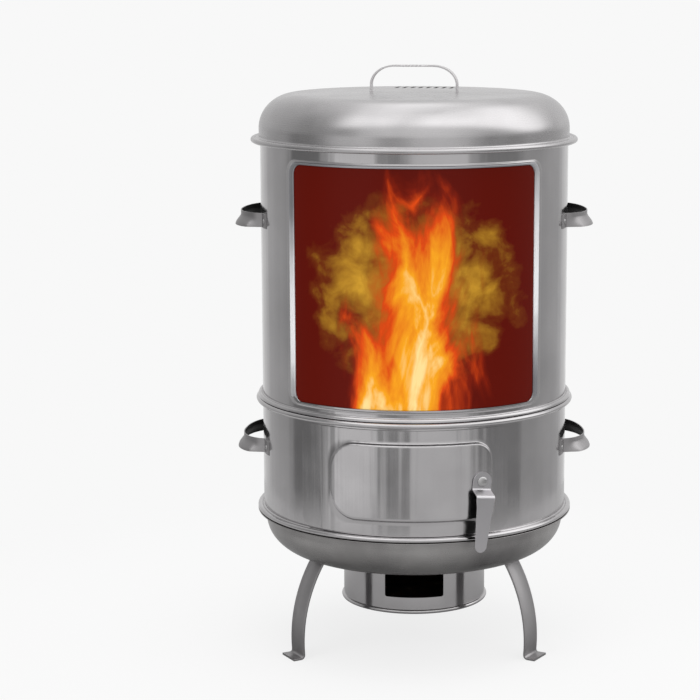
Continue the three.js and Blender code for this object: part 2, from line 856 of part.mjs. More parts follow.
// The crook lies over the ring's rod, the neck brings the shank back under it, and two
// prongs stand up from a foot that runs along the ring.
function duckHook() {
  const crook = ringRod + seatGap + hookRod;
  const inPlane = ([out, down]) => new THREE.Vector3(0, -ringRadius - out, ringZ + down);
  const shankEnd = -hookNeck - hookShank;
  const spine = [
    [crook, -hookTail],
    ...arc([0, 0], crook, crook, 0, 180, 5),
    [-crook, -hookNeck / 3],
    [0, -hookNeck],
    [0, shankEnd],
  ].map(inPlane);
  const foot = [
    [-prongSpread, shankEnd + prongHeight],
    ...arc([-prongSpread + prongBend, shankEnd + prongBend], prongBend, prongBend, 180, 270, 2),
    ...arc([prongSpread - prongBend, shankEnd + prongBend], prongBend, prongBend, 270, 360, 2),
    [prongSpread, shankEnd + prongHeight],
  ].map(([x, down]) => new THREE.Vector3(x, -ringRadius, ringZ + down));
  const shaft = toSolid(rod(spine, hookRod, new THREE.Vector3(1, 0, 0)));
  const prongs = toSolid(rod(foot, hookRod, new THREE.Vector3(0, 1, 0)));
  return toGeometry(shaft.add(prongs));
}

// Grate, trivet and drip pan

const grateZ = bowlBottomHeight + bowlFloorFall + grateLift;
const grateTop = grateZ + grateSheet;
const grateRadius = alongProfile(bowlInside, 1, 0, grateZ) - seatGap;
const trivetZ = grateTop + trivetHeight;
const panZ = trivetZ + trivetRod + seatGap;

// A round plate with slots from near its middle to its rim
function fireGrate() {
  const plate = toSolid(revolve([
    [0, grateZ],
    [grateRadius, grateZ],
    [grateRadius, grateTop],
    [0, grateTop],
  ]));
  const slotEnd = grateSlotWidth / 2;
  const outline = [
    ...arc([-grateSlotInner - slotEnd, 0], slotEnd, slotEnd, -90, 90, 2),
    ...arc([-grateRadius + grateRim + slotEnd, 0], slotEnd, slotEnd, 90, 270, 2),
  ];
  const shape = new THREE.Shape(outline.map(([x, y]) => plan(x, y)));
  const depth = grateSheet + 2 * overrun;
  const slots = Array.from({ length: grateSlots }, (_, i) => toSolid(
    new THREE.ExtrudeGeometry(shape, { depth, bevelEnabled: false })
      .translate(0, 0, grateZ - overrun)
      .rotateZ(degrees(360 * (i + 1 / 2) / grateSlots)),
  ));
  return toGeometry(slots.reduce((rest, slot) => rest.subtract(slot), plate));
}

// A ring on three splayed legs, which stands on the grate and carries the drip pan
function panTrivet() {
  const ring = new THREE.TorusGeometry(trivetRadius, trivetRod, rodSides, smallFacets);
  ring.translate(0, 0, trivetZ);
  const legs = [0, 1, 2].map((i) => {
    const points = [
      new THREE.Vector3(0, -trivetRadius, trivetZ),
      new THREE.Vector3(0, -trivetRadius - trivetSplay, grateTop + seatGap),
    ];
    return toSolid(rod(points, trivetRod, new THREE.Vector3(1, 0, 0)).rotateZ(degrees(120 * i)));
  });
  const floor = toSolid(new THREE.BoxGeometry(4 * trivetRadius, 4 * trivetRadius, grateLift)
    .translate(0, 0, grateTop + seatGap - grateLift / 2));
  return toGeometry(legs.reduce((whole, one) => whole.add(one), toSolid(ring)).subtract(floor));
}

function dripPan() {
  const top = panZ + panHeight;
  const wall = panRadius - panRim;
  return revolve([
    [0, panZ],
    [panFloorRadius, panZ],
    [wall, top - panSheet],
    [panRadius, top - panSheet],
    [panRadius, top],
    [wall - panSheet, top],
    [panFloorRadius - panSheet, panZ + panSheet],
    [0, panZ + panSheet],
  ], smallFacets);
}

// Lid

const crownHeight = (radius) => lidCrownRise * (1 - (radius / lidCrownRadius) ** 2);

function lidProfile(offset) {
  const middle = lidCrownRadius / 2;
  return [
    [0, lidTop - offset],
    [middle, lidCrownBase + crownHeight(middle) - offset],
    ...arc(
      [lidCrownRadius, lidCornerBottom],
      lidSideRadius - lidCrownRadius - offset,
      lidCornerHeight - offset,
      90,
      0,
    ),
  ];
}

function lidShell() {
  const flangeTop = lidSeat + shellSheet;
  const beadCentre = [lidBeadRadius - lidBead, lidSeat - lidBeadDrop];
  const shell = toSolid(revolve([
    ...lidProfile(0),
    [lidSideRadius, flangeTop],
    ...arc(beadCentre, lidBead, lidBead, 135, -180, 5),
    [beadCentre[0] - lidBead, lidSeat],
    [lidSideRadius - shellSheet, lidSeat],
    ...lidProfile(shellSheet).reverse(),
  ]));
  const ventShape = [
    ...arc([0, ventLength / 2 - ventWidth / 2], ventWidth / 2, ventWidth / 2, 0, 180, 2),
    ...arc([0, -ventLength / 2 + ventWidth / 2], ventWidth / 2, ventWidth / 2, 180, 360, 2),
  ];
  const vents = Array.from({ length: ventCount }, (_, i) => {
    const shape = new THREE.Shape(ventShape.map(([x, y]) => plan(x, y)));
    const depth = lidCrownRise + shellSheet + 2 * overrun;
    return new THREE.ExtrudeGeometry(shape, { depth, bevelEnabled: false })
      .translate(ventPitch * (i - (ventCount - 1) / 2), ventDistance, lidTop - depth + overrun);
  });
  const slots = [-1, 1].map((side) => new THREE.BoxGeometry(
    bailStrip + 2 * pinGap,
    bailWidth + 2 * pinGap,
    lidCrownRise + shellSheet + 2 * overrun,
  ).translate(side * bailSpan / 2, 0, lidTop));
  const cutters = [...vents, ...slots].map((cutter) => toSolid(cutter.rotateZ(degrees(lidTurn))));
  return toGeometry(cutters.reduce((rest, cutter) => rest.subtract(cutter), shell));
}

// A band inside the lid that drops into the barrel and keeps the lid in the middle
function lidSkirt() {
  const wide = lidSideRadius - shellSheet - seatGap;
  const narrow = wallInside - slideGap;
  const low = lidSeat - skirtDrop;
  const high = lidSeat + skirtRise;
  return revolve([
    [narrow - shellSheet, low],
    [narrow, low],
    [narrow, lidSeat],
    [wide, high],
    [wide - shellSheet, high],
    [narrow - shellSheet, lidSeat],
  ]);
}

// A flat strip bent into a bail. Its ends pass through the lid and are turned in under it.
function lidHandle() {
  const half = bailSpan / 2;
  const top = lidTop + bailHeight - bailStrip / 2;
  const under = lidCrownBase + crownHeight(half + bailStrip) - shellSheet - seatGap - bailStrip / 2;
  const shoulder = [half - bailShoulder, top - bailShoulderFall];
  const right = [
    [half - bailTab, under],
    [half, under],
    ...arc(shoulder, bailShoulder, bailShoulderFall, 0, 90, 6),
  ];
  const left = right.map(([x, z]) => [-x, z]).reverse();
  const outline = stripOutline([...right, ...left], bailStrip);
  return slabAlongY(outline, -bailWidth / 2, bailWidth / 2);
}

// Assembly

const stand = new THREE.Group();
stand.add(
  mesh('fire_bowl', fireBowl(), satinSteel),
  mesh('ash_drum', ashDrum(), satinSteel),
  mesh('leg_left', leg(), brushedSteel, -60),
  mesh('leg_right', leg(), brushedSteel, 60),
  mesh('leg_rear', leg(), brushedSteel, 180),
  mesh('base_shell', baseShell(), satinSteel),
  mesh('locating_collar', locatingCollar(), brushedSteel),
  mesh('base_handle_left', sideHandle(baseTop - baseHandleDrop), satinSteel, -handleAzimuth),
  mesh('base_handle_right', sideHandle(baseTop - baseHandleDrop), satinSteel, handleAzimuth),
);

const latch = new THREE.Group();
latch.add(
  mesh('latch_handle', latchHandle(), brushedSteel, latchAzimuth),
  mesh('latch_spindle', latchSpindle(), platedWire, latchAzimuth),
  mesh('latch_sleeve', latchSleeveTube(), platedWire, latchAzimuth),
  mesh('latch_tongue', latchTongue(), brushedSteel, latchAzimuth),
);

const doorMiddle = (doorLeftAzimuth + doorRightAzimuth) / 2;
const door = new THREE.Group();
door.add(
  mesh('fire_door', fireDoor(), satinSteel),
  mesh('door_hanger_left', doorHanger(), brushedSteel, doorMiddle - hangerSpread),
  mesh('door_hanger_right', doorHanger(), brushedSteel, doorMiddle + hangerSpread),
  latch,
);

const charcoal = new THREE.Group();
charcoal.add(
  mesh('fire_grate', fireGrate(), firedSteel),
  mesh('pan_trivet', panTrivet(), platedWire),
  mesh('drip_pan', dripPan(), satinSteel),
);

const barrel = new THREE.Group();
barrel.add(
  mesh('barrel_shell', barrelShell(), satinSteel),
  mesh('barrel_handle_left', sideHandle(barrelTop - barrelHandleDrop), satinSteel, -handleAzimuth),
  mesh('barrel_handle_right', sideHandle(barrelTop - barrelHandleDrop), satinSteel, handleAzimuth),
  mesh('picture_surround', pictureSurround(), brightSteel),
  mesh('picture_panel', picturePanel(), enamel),
);
['front_left', 'front_right', 'rear_right', 'rear_left'].forEach((place, i) => {
  const azimuth = bracketAzimuth + 90 * (i - 1);
  barrel.add(mesh(`ring_bracket_${place}`, ringBracket(), brushedSteel, azimuth));
});

const rack = new THREE.Group();
rack.add(mesh('hanging_ring', hangingRing(), platedWire));
['front', 'right', 'rear', 'left'].forEach((place, i) => {
  rack.add(mesh(`duck_hook_${place}`, duckHook(), platedWire, 90 * i));
});

const lid = new THREE.Group();
lid.add(
  mesh('lid_shell', lidShell(), satinSteel),
  mesh('lid_skirt', lidSkirt(), brushedSteel),
  mesh('lid_handle', lidHandle(), brushedSteel, lidTurn),
);

const oven = new THREE.Group();
oven.add(stand, charcoal, door, barrel, rack, lid);

export default oven;
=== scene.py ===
import functools
import math

import bmesh
import bpy
import numpy as np
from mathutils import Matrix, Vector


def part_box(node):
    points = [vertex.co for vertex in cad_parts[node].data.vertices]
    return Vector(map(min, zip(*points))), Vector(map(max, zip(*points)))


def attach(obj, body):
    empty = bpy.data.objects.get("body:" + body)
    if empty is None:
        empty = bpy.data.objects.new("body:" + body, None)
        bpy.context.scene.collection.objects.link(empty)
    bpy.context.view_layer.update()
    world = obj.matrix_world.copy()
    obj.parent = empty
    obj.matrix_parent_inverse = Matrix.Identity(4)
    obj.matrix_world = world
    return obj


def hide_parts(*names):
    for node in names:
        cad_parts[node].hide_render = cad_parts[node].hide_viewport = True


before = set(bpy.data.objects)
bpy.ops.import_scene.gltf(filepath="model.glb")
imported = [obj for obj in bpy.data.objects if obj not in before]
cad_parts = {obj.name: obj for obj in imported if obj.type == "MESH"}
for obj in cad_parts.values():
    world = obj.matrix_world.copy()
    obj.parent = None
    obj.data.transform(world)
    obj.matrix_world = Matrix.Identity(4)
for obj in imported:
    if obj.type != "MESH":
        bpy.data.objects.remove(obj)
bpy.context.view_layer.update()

bl_info = {
    "name": "Vertical roasting oven",
    "version": (1, 0, 0),
    "blender": (4, 5, 0),
    "location": "View3D > Sidebar > Oven",
    "description": "Dresses the packed frame of a charcoal roasting oven in sheet steel",
    "category": "Add Mesh",
}

# Shapes are worked out in millimetres, and MM takes them to metres as each mesh is made.
MM = 0.001
# Steps round a lathed piece, then in mm: the sheet's thickness, and the gaps that keep seated
# pieces and the wrapped picture from touching
TURNS = 240
SHEET = 1.2
SEAT_GAP = 0.3
WRAP_GAP = 0.6


def heights(name):
    """The heights in mm of a CAD node's lowest and highest corners."""
    low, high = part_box(name)
    return low.z / MM, high.z / MM


BASE = heights("base_shell")
BARREL = heights("barrel_shell")
BOWL = heights("fire_bowl")
DOOR = heights("fire_door")
PAN = heights("drip_pan")
LID_SEAT = BARREL[1] + SEAT_GAP
LID_TOP = heights("lid_shell")[1]
DRUM_LOW = heights("ash_drum")[0]
RING_Z = sum(heights("hanging_ring")) / 2
GRATE_TOP = heights("fire_grate")[1]
TRIVET_TOP = heights("pan_trivet")[1]
# The foot and head of the picture
PICTURE = BARREL[0] + 16.9, BARREL[1] - 25.8
# The fire bowl's section: a floor from the hole over the drum to where it turns up, how much
# it rises to there, and how far the side's quarter ellipse goes out and up
BOWL_HOLE, BOWL_TURN, BOWL_RISE, BOWL_SIDE = 106.8, 161.0, 3.0, np.array((60.4, 51.0))
# The lid's section: its crown's rise and radius, and its side's quarter ellipse, out and up
LID_RISE, LID_CROWN, LID_SIDE = 2.2, 173, (53.8, 50.2)
# A roll's height for its width, and how much of its radius the quarter at its edge takes
ROLL_HIGH, ROLL_EDGE = 1.7, 0.85


# Colour and nodes


def linear(hex_colour):
    """An sRGB hex colour as linear RGBA."""
    channels = [int(hex_colour[i : i + 2], 16) / 255 for i in (1, 3, 5)]
    bent = [c / 12.92 if c <= 0.04045 else ((c + 0.055) / 1.055) ** 2.4 for c in channels]
    return (*bent, 1.0)


def plug(tree, node, sockets):
    """Gives each of a node's sockets a value, or another node's output to link from."""
    for key, value in sockets.items():
        if isinstance(value, bpy.types.NodeSocket):
            tree.links.new(value, node.inputs[key])
        else:
            node.inputs[key].default_value = value


def add(tree, kind, sockets=None, **settings):
    """Adds a node with its settings and sockets."""
    made = tree.nodes.new(kind)
    for key, value in settings.items():
        setattr(made, key, value)
    plug(tree, made, sockets or {})
    return made


def ramp(tree, value, stops, interpolation="LINEAR"):
    """A colour ramp. Each stop is (place, sRGB hex, grey level or linear colour)."""
    made = add(tree, "ShaderNodeValToRGB", {"Fac": value})
    elements = made.color_ramp.elements
    made.color_ramp.interpolation = interpolation
    while len(elements) < len(stops):
        elements.new(0.5)
    for element, (place, colour) in zip(elements, stops):
        element.position = place
        if isinstance(colour, str):
            colour = linear(colour)
        elif isinstance(colour, float):
            colour = (colour, colour, colour)
        element.color = (*colour[:3], 1.0)
    return made.outputs["Color"]


def sums(tree, operation, a, b=0.0, clamp=False):
    """One sum on two numbers or outputs."""
    made = add(tree, "ShaderNodeMath", {0: a, 1: b}, operation=operation, use_clamp=clamp)
    return made.outputs["Value"]


def arithmetic(tree):
    """The sums times, plus and less, ready for two numbers or outputs."""
    return [functools.partial(sums, tree, name) for name in ("MULTIPLY", "ADD", "SUBTRACT")]


def span(tree, value, start, end, low=0.0, high=1.0, **settings):
    """Takes a value that runs from start to end to one that runs from low to high."""
    sockets = {"Value": value, "From Min": start, "From Max": end, "To Min": low, "To Max": high}
    return add(tree, "ShaderNodeMapRange", sockets, **settings).outputs["Result"]


def noise(tree, place, scale, detail=2.0, roughness=0.5, distortion=0.0):
    """Cloudy noise. The scale is in cells to the metre, or three such numbers for cells that
    are stretched."""
    if isinstance(scale, tuple):
        place = add(tree, "ShaderNodeMapping", {"Vector": place, "Scale": scale}).outputs["Vector"]
        scale = 1.0
    sockets = {
        "Vector": place,
        "Scale": scale,
        "Detail": detail,
        "Roughness": roughness,
        "Distortion": distortion,
    }
    return add(tree, "ShaderNodeTexNoise", sockets).outputs["Fac"]


def bump(tree, height, depth_mm, strength=1.0, over=None):
    """A relief that is depth_mm deep, over another one where that is given."""
    sockets = {"Strength": strength, "Distance": depth_mm * MM, "Height": height}
    if over is not None:
        sockets["Normal"] = over
    return add(tree, "ShaderNodeBump", sockets).outputs["Normal"]


def blend(tree, share, a, b):
    """A mix of two colours."""
    mixed = add(tree, "ShaderNodeMix", {"Factor": share, "A": a, "B": b}, data_type="RGBA")
    return mixed.outputs["Result"]


def length(tree, vector):
    made = add(tree, "ShaderNodeVectorMath", {0: vector}, operation="LENGTH")
    return made.outputs["Value"]


def split(tree, vector):
    """The three parts of a vector."""
    parts = add(tree, "ShaderNodeSeparateXYZ", {"Vector": vector}).outputs
    return parts["X"], parts["Y"], parts["Z"]


def here(tree):
    """Object coordinates."""
    return add(tree, "ShaderNodeTexCoord").outputs["Object"]


def new_material(name):
    """A new material's node tree and its shader."""
    material = bpy.data.materials.new(name)
    material.use_nodes = True
    tree = material.node_tree
    return tree, tree.nodes["Principled BSDF"]


def steel_sheet(
    name, dark, light, smooth, rough, grain_mm, lines, relief_mm, buckle_mm, rolled_mm=0.0
):
    """Stainless steel whose tint, polish and fine drawn grain vary over the sheet.

    The tint drifts from dark to light in stains a hand's breadth across. Roughness goes from
    smooth to rough with the grain, whose lines are grain_mm wide and run level, upright or
    in rings round the Z axis, as spinning leaves them, and with wiped smears. Broad dents,
    buckle_mm deep, bend the reflections, and upright roll marks, rolled_mm deep and a finger
    wide, break them into streaks.
    """
    tree, shader = new_material(name)
    place = here(tree)
    stain = noise(tree, place, 1 / 0.11, 3.0)
    fine, long = 1 / (grain_mm * MM), 6.0
    if lines == "spun":
        x, y, z = split(tree, place)
        level = add(tree, "ShaderNodeCombineXYZ", {"X": x, "Y": y}).outputs["Vector"]
        rings = add(tree, "ShaderNodeCombineXYZ", {"X": length(tree, level), "Z": z})
        grain = noise(tree, rings.outputs["Vector"], (fine, long, fine), 2.0, 0.6)
    else:
        stretch = (fine, fine, long) if lines == "upright" else (long, long, fine)
        grain = noise(tree, place, stretch, 2.0, 0.6)
    smear = noise(tree, place, 1 / 0.04, 4.0)
    relief = bump(tree, grain, relief_mm, 0.3)
    relief = bump(tree, noise(tree, place, 1 / 0.09, 1.0), buckle_mm, over=relief)
    if rolled_mm:
        mark = noise(tree, place, (48.0, 48.0, 1.6), 1.5)
        relief = bump(tree, mark, rolled_mm, over=relief)
    looks = {
        "Base Color": ramp(tree, stain, [(0.3, dark), (0.7, light)]),
        "Roughness": span(tree, sums(tree, "ADD", grain, smear), 0.75, 1.25, smooth, rough),
        "Normal": relief,
        "Metallic": 1.0,
    }
    plug(tree, shader, looks)


def trim_with_painted_highlight(low, high, half_width):
    """Satin anodised aluminium strip with a painted highlight: painted white near the middle of
    its height, and grey metal towards its foot (low) and its head (high). The painted highlight
    sits a little higher on the right than on the left. A faint cloudiness keeps it from looking
    flat."""
    tree, shader = new_material("aluminium_trim_painted_highlight")
    place = here(tree)
    x, _, z = split(tree, place)
    lean = span(tree, x, -half_width * MM, half_width * MM, 0.1, -0.1, clamp=False)
    drift = span(tree, noise(tree, place, 1 / 0.05, 3.0), 0.0, 1.0, -0.08, 0.08, clamp=False)
    height = span(tree, z, low * MM, high * MM, clamp=False)
    shifted = sums(tree, "ADD", sums(tree, "ADD", height, lean), drift)
    highlight_levels = ((0.0, 0.0), (0.12, 0.3), (0.28, 0.85), (0.42, 1.0), (0.55, 0.85), (0.72, 0.6))
    # The painted highlight: white in the middle of the height, grey metal towards both ends
    white = ramp(tree, shifted, (*highlight_levels, (0.92, 0.05)))
    looks = {
        "Base Color": ramp(tree, white, [(0.0, "#a9a9ad"), (0.8, "#f4f4f6")]),
        "Metallic": span(tree, white, 0.0, 1.0, 1.0, 0.15, clamp=False),
        "Roughness": 0.34,
    }
    plug(tree, shader, looks)


def fired_plate_and_painted_shade():
    """Red-hot mild steel plate: mill scale, rust and pale ash, hardly shiny; also painted shade in
    the drum.
    """
    tree, shader = new_material("mild_steel_fired_and_painted_shade")
    place = here(tree)
    scale_rust_ash_and_shade = [(0.3, "#26221f"), (0.5, "#45403c"), (0.62, "#5a4536"), (0.75, "#8c8780")]
    looks = {
        "Base Color": ramp(tree, noise(tree, place, 1 / 0.02, 6.0), scale_rust_ash_and_shade),
        "Normal": bump(tree, noise(tree, place, 1 / 0.002, 3.0), 0.4, 0.5),
        "Metallic": 0.6,
        "Roughness": 0.62,
    }
    plug(tree, shader, looks)


def painted_shade_coat():
    """Near-black painted shade: nearly matt, with drag marks and a few lighter patches."""
    tree, shader = new_material(SHADE_BLACK)
    place = here(tree)
    shade_patches = [(0.45, "#101010"), (0.68, "#1b1a1a"), (0.8, "#383635")]
    looks = {
        "Base Color": ramp(tree, noise(tree, place, 1 / 0.012, 4.0), shade_patches),
        "Normal": bump(tree, noise(tree, place, (60.0, 60.0, 900.0)), 0.1, 0.4),
        "Roughness": 0.6,
        "Specular IOR Level": 0.15,
    }
    plug(tree, shader, looks)


def enamel_print(ground, glow, flame, spark):
    """Screen-printed enamel, fired glossy: flames that rise in front of a golden glow.

    The print reads the panel's UV map, u across and v up. How hot a point is falls with its
    distance from the middle, which noise stretched upwards bends from side to side, and with
    its height. The glow is a soft oval, broken up by coarse and fine noise like drifting sparks.
    """
    tree, shader = new_material("enamel_on_steel_printed")
    spot = add(tree, "ShaderNodeUVMap", uv_map="print").outputs["UV"]
    u, up, _ = split(tree, spot)
    times, plus, less = arithmetic(tree)

    def swing(scale, detail, distortion, width):
        """Noise that swings by half the width to either side of 0."""
        value = noise(tree, spot, scale, detail, distortion=distortion)
        return times(less(value, 0.5), width)

    across = less(u, 0.5)
    off_middle = sums(tree, "ABSOLUTE", plus(across, swing((5.0, 1.9, 1.0), 6.0, 0.8, 0.68)))
    reach = less(0.31, times(sums(tree, "POWER", up, 2.6), 0.27))
    cold = sums(tree, "DIVIDE", less(reach, off_middle), 0.30)
    cold = less(cold, swing((15.0, 3.5, 1.0), 4.0, 1.2, 0.5))
    heat = sums(tree, "MAXIMUM", sums(tree, "MINIMUM", cold, 1.0), 0.0)
    fire = [(0.0, "#5e1204"), (0.22, "#8f2208"), (0.45, flame), (0.78, spark), (1.0, "#f8d992")]
    wide = sums(tree, "POWER", times(across, 2.3), 2.0)
    tall = sums(tree, "POWER", times(less(up, 0.5), 2.5), 2.0)
    drift = plus(1.0, swing((9.0, 9.0, 1.0), 8.0, 0.3, 1.9))
    halo = less(drift, plus(wide, tall), clamp=True)
    haze = ramp(tree, halo, [(0.0, ground), (0.25, "#6a2c0a"), (0.6, glow), (1.0, "#c8962c")])
    share = times(heat, 2.4, clamp=True)
    looks = {
        "Base Color": blend(tree, share, haze, ramp(tree, heat, fire)),
        "Roughness": 0.34,
        "Specular IOR Level": 0.09,
    }
    plug(tree, shader, looks)


# Curves and grids


def arc(centre, across, up, start, end, steps=24):
    """Points of an ellipse: centre + (across cos t, up sin t), t from start to end degrees."""
    t = np.radians(np.linspace(start, end, steps + 1))
    return np.column_stack((centre[0] + across * np.cos(t), centre[1] + up * np.sin(t)))


def run(*pieces):
    """Joins points and arrays of points into one line."""
    return np.vstack([np.atleast_2d(np.asarray(piece, float)) for piece in pieces])


def turn(points, azimuth):
    """Turns points about Z by an azimuth in degrees, from the front towards the right."""
    c, s = math.cos(math.radians(azimuth)), math.sin(math.radians(azimuth))
    matrix = np.array([[c, -s, 0.0], [s, c, 0.0], [0.0, 0.0, 1.0]])
    return points @ matrix.T


def around(radius, azimuth, z):
    """Cylinder coordinates as points: x = r sin a, y = -r cos a, with a from the front."""
    a = np.radians(azimuth)
    radius, a, z = np.broadcast_arrays(radius, a, z)
    return np.stack((radius * np.sin(a), -radius * np.cos(a), z), -1)


def turned(profile, turns=TURNS):
    """A lathe surface: each [radius, z] of a closed profile goes once round the Z axis."""
    azimuth = 360 * np.arange(turns)[:, None] / turns
    return around(profile[None, :, 0], azimuth, profile[None, :, 1])


def directions(line):
    """The unit direction along a line at each of its points."""
    along = np.gradient(line, axis=0)
    return along / np.linalg.norm(along, axis=1, keepdims=True)


def tube(line, radius, square, sides=14):
    """A round rod: at each point of a flat line, a circle spanned by `square`, the direction
    square to the line's plane, and the normal in that plane. Both ends close in half spheres,
    as circles of radius r cos b set back by r (1 - sin b)."""
    line, square = np.asarray(line, float), np.asarray(square, float)
    along = directions(line)
    b = np.radians(np.linspace(0, 88, 6))
    before = line[0] + along[0] * (radius * (1 - np.sin(b[::-1, None])))
    after = line[-1] - along[-1] * (radius * (1 - np.sin(b[:, None])))
    first = np.linalg.norm(line - line[0], axis=1) > radius
    last = np.linalg.norm(line - line[-1], axis=1) > radius
    middle = first & last
    centres = np.vstack((before, line[middle], after))
    ways = np.vstack((np.repeat(along[:1], 6, 0), along[middle], np.repeat(along[-1:], 6, 0)))
    radii = radius * np.concatenate((np.cos(b[::-1]), np.ones(middle.sum()), np.cos(b)))
    across = np.cross(square, ways)
    t = 2 * np.pi * np.arange(sides) / sides
    circle = across[:, None] * np.cos(t)[None, :, None] + square * np.sin(t)[None, :, None]
    return centres[:, None] + circle * radii[:, None, None]


def ring(radius, rod, z, turns=TURNS, sides=16):
    """A torus: a circle of radius `rod` carried round the axis at `radius`."""
    return turned(arc((radius, z), rod, rod, 0, 360, sides)[:-1], turns)


def strip(line, half_width, thickness, edge=0.35):
    """A flat strip bent along a line in the (a, b) plane, as points (a, width, b).

    At each point, an oblong with broken corners is spanned by the line's normal, times
    +-thickness / 2, and the width axis, times +-half_width.
    """
    line = np.asarray(line, float)
    along = directions(line)
    normal = np.column_stack((-along[:, 1], along[:, 0]))
    half = np.broadcast_to(half_width, len(line))[:, None]
    full, less = thickness / 2, thickness / 2 - edge
    deep = np.array([full, less, -less, -full, -full, -less, less, full])
    inner = np.maximum(half - edge, 0)
    wide = np.concatenate((inner, half, half, inner, -inner, -half, -half, -inner), 1)
    a, b = (line[:, k : k + 1] + normal[:, k : k + 1] * deep for k in (0, 1))
    return np.stack((a, wide, b), -1)


def facing_front(points):
    """Takes (reach, width, z) to X, Y, Z with the reach towards the front."""
    return np.stack((points[..., 1], -points[..., 0], points[..., 2]), -1)


def fillet(corner, before, after, radius, steps=8):
    """Rounds one corner of a line: a quadratic Bezier curve between the two points that lie
    `radius` before and after the corner."""
    corner, before, after = (np.asarray(p, float) for p in (corner, before, after))
    start = corner + (before - corner) / np.linalg.norm(before - corner) * radius
    end = corner + (after - corner) / np.linalg.norm(after - corner) * radius
    t = np.linspace(0, 1, steps + 1)[:, None]
    return start * (1 - t) ** 2 + corner * 2 * t * (1 - t) + end * t**2


def spread(line, count):
    """The same line with `count` points at equal distances along it."""
    steps = np.linalg.norm(np.diff(line, axis=0), axis=1)
    where = np.concatenate(([0.0], np.cumsum(steps)))
    at = np.linspace(0, where[-1], count)
    return np.column_stack([np.interp(at, where, line[:, k]) for k in range(line.shape[1])])


def smooth_through(points, steps=8):
    """A Catmull-Rom curve through the points: on each span, the cubic that has each end's
    slope equal to half the step between that end's neighbours."""
    p = np.asarray(points, float)
    p = np.vstack((2 * p[0] - p[1], p, 2 * p[-1] - p[-2]))
    t = np.linspace(0, 1, steps, endpoint=False)[:, None, None]
    a, b, c, d = p[:-3], p[1:-2], p[2:-1], p[3:]
    spans = 0.5 * (
        2 * b + (c - a) * t + (2 * a - 5 * b + 4 * c - d) * t**2 + (3 * b - a - 3 * c + d) * t**3
    )
    return np.vstack((spans.transpose(1, 0, 2).reshape(-1, p.shape[1]), p[-2]))


def oblong(
    left, right, low, high, left_corner, right_corner, corner=16, edge=40, side=20, grade=1
):
    """A rounded oblong as (across, up) points, always with the same count, so that several
    can be joined. Corners are quarter ellipses of [across, up]. Along the low and high edges
    the points lie at share ** grade from the left, closer together there if grade is over 1."""
    in_left, in_right = left + left_corner[0], right - right_corner[0]

    def straight(k, start, end):
        shares = np.linspace(0, 1, (edge if k % 2 == 0 else side) + 1)[1:-1, None]
        if k == 0:
            shares = shares**grade
        elif k == 2:
            shares = 1 - (1 - shares) ** grade
        return np.asarray(start) * (1 - shares) + np.asarray(end) * shares

    corners = [
        arc((in_left, low + left_corner[1]), *left_corner, 180, 270, corner),
        arc((in_right, low + right_corner[1]), *right_corner, 270, 360, corner),
        arc((in_right, high - right_corner[1]), *right_corner, 0, 90, corner),
        arc((in_left, high - left_corner[1]), *left_corner, 90, 180, corner),
    ]
    pieces = []
    for k, points in enumerate(corners):
        following = corners[(k + 1) % 4]
        pieces += [points, straight(k, points[-1], following[0])]
    return np.vstack(pieces)


def s_curve(share):
    """Takes 0 to 1 to an S curve that is level at both ends."""
    return share * share * (3 - 2 * share)


def between(outer, inner, shares):
    """Outlines that lie part of the way from one to another."""
    shares = np.asarray(shares, float)[:, None, None]
    return outer * (1 - shares) + inner * shares


def onto_middle(outline):
    """The outline pressed flat onto a level line along its own middle."""
    centre = (outline[:, 1].min() + outline[:, 1].max()) / 2
    top = outline[outline[:, 1] > outline[:, 1].max() - 1e-6, 0]
    across = np.clip(outline[:, 0], top.min(), top.max())
    return np.column_stack((across, np.full(len(outline), centre)))


# Meshes and pieces

# Edges that turn by more than this many degrees stay crisp, where a piece says nothing else
SHARP = 32
# Corners closer than this in metres become one
MERGE = 1e-6


def grid_faces(rows, columns, close_rows, start):
    """Quads between neighbours of a grid that closes across its columns."""
    r = np.arange(rows if close_rows else rows - 1)
    r, c = np.meshgrid(r, np.arange(columns), indexing="ij")
    r1, c1 = (r + 1) % rows, (c + 1) % columns
    r, r1 = r * columns, r1 * columns
    return np.stack((r + c, r + c1, r1 + c1, r1 + c), -1).reshape(-1, 4) + start


def build_mesh(name, grids, sharp=SHARP):
    """One mesh of closed surfaces. Each grid is (rows, columns, xyz) in mm, closed across its
    columns, and across its rows too where `loop` is set; open rows end in flat caps."""
    points, faces, start = [], [], 0
    for grid, loop in grids:
        rows, columns = grid.shape[:2]
        points.append(grid.reshape(-1, 3))
        faces += grid_faces(rows, columns, loop, start).tolist()
        if not loop:
            for row in (0, rows - 1):
                faces.append((start + row * columns + np.arange(columns)).tolist())
        start += rows * columns
    mesh = bpy.data.meshes.new(name)
    mesh.from_pydata((np.vstack(points) * MM).tolist(), [], faces)
    work = bmesh.new()
    work.from_mesh(mesh)
    bmesh.ops.remove_doubles(work, verts=work.verts, dist=MERGE)
    bmesh.ops.dissolve_degenerate(work, edges=work.edges, dist=MERGE / 10)
    bmesh.ops.recalc_face_normals(work, faces=work.faces)
    work.to_mesh(mesh)
    work.free()
    mesh.shade_smooth()
    mesh.set_sharp_from_angle(angle=math.radians(sharp))
    return mesh


def new_piece(name, grids, material, sharp=SHARP):
    """A closed piece. Edges that turn by more than `sharp` degrees stay crisp."""
    mesh = build_mesh(name, grids, sharp)
    mesh.materials.append(bpy.data.materials[material])
    piece = bpy.data.objects.new(name, mesh)
    bpy.context.scene.collection.objects.link(piece)
    return piece


def lathed(name, profile, material):
    """A piece turned about the Z axis."""
    return new_piece(name, [(turned(profile), True)], material)


def solid(name, grid, material, sharp):
    """A piece of one grid whose open rows are capped."""
    return new_piece(name, [(grid, False)], material, sharp)


def read(items, name):
    """One vector of each of a mesh's corners or faces."""
    flat = np.empty(len(items) * 3)
    items.foreach_get(name, flat)
    return flat.reshape(-1, 3)


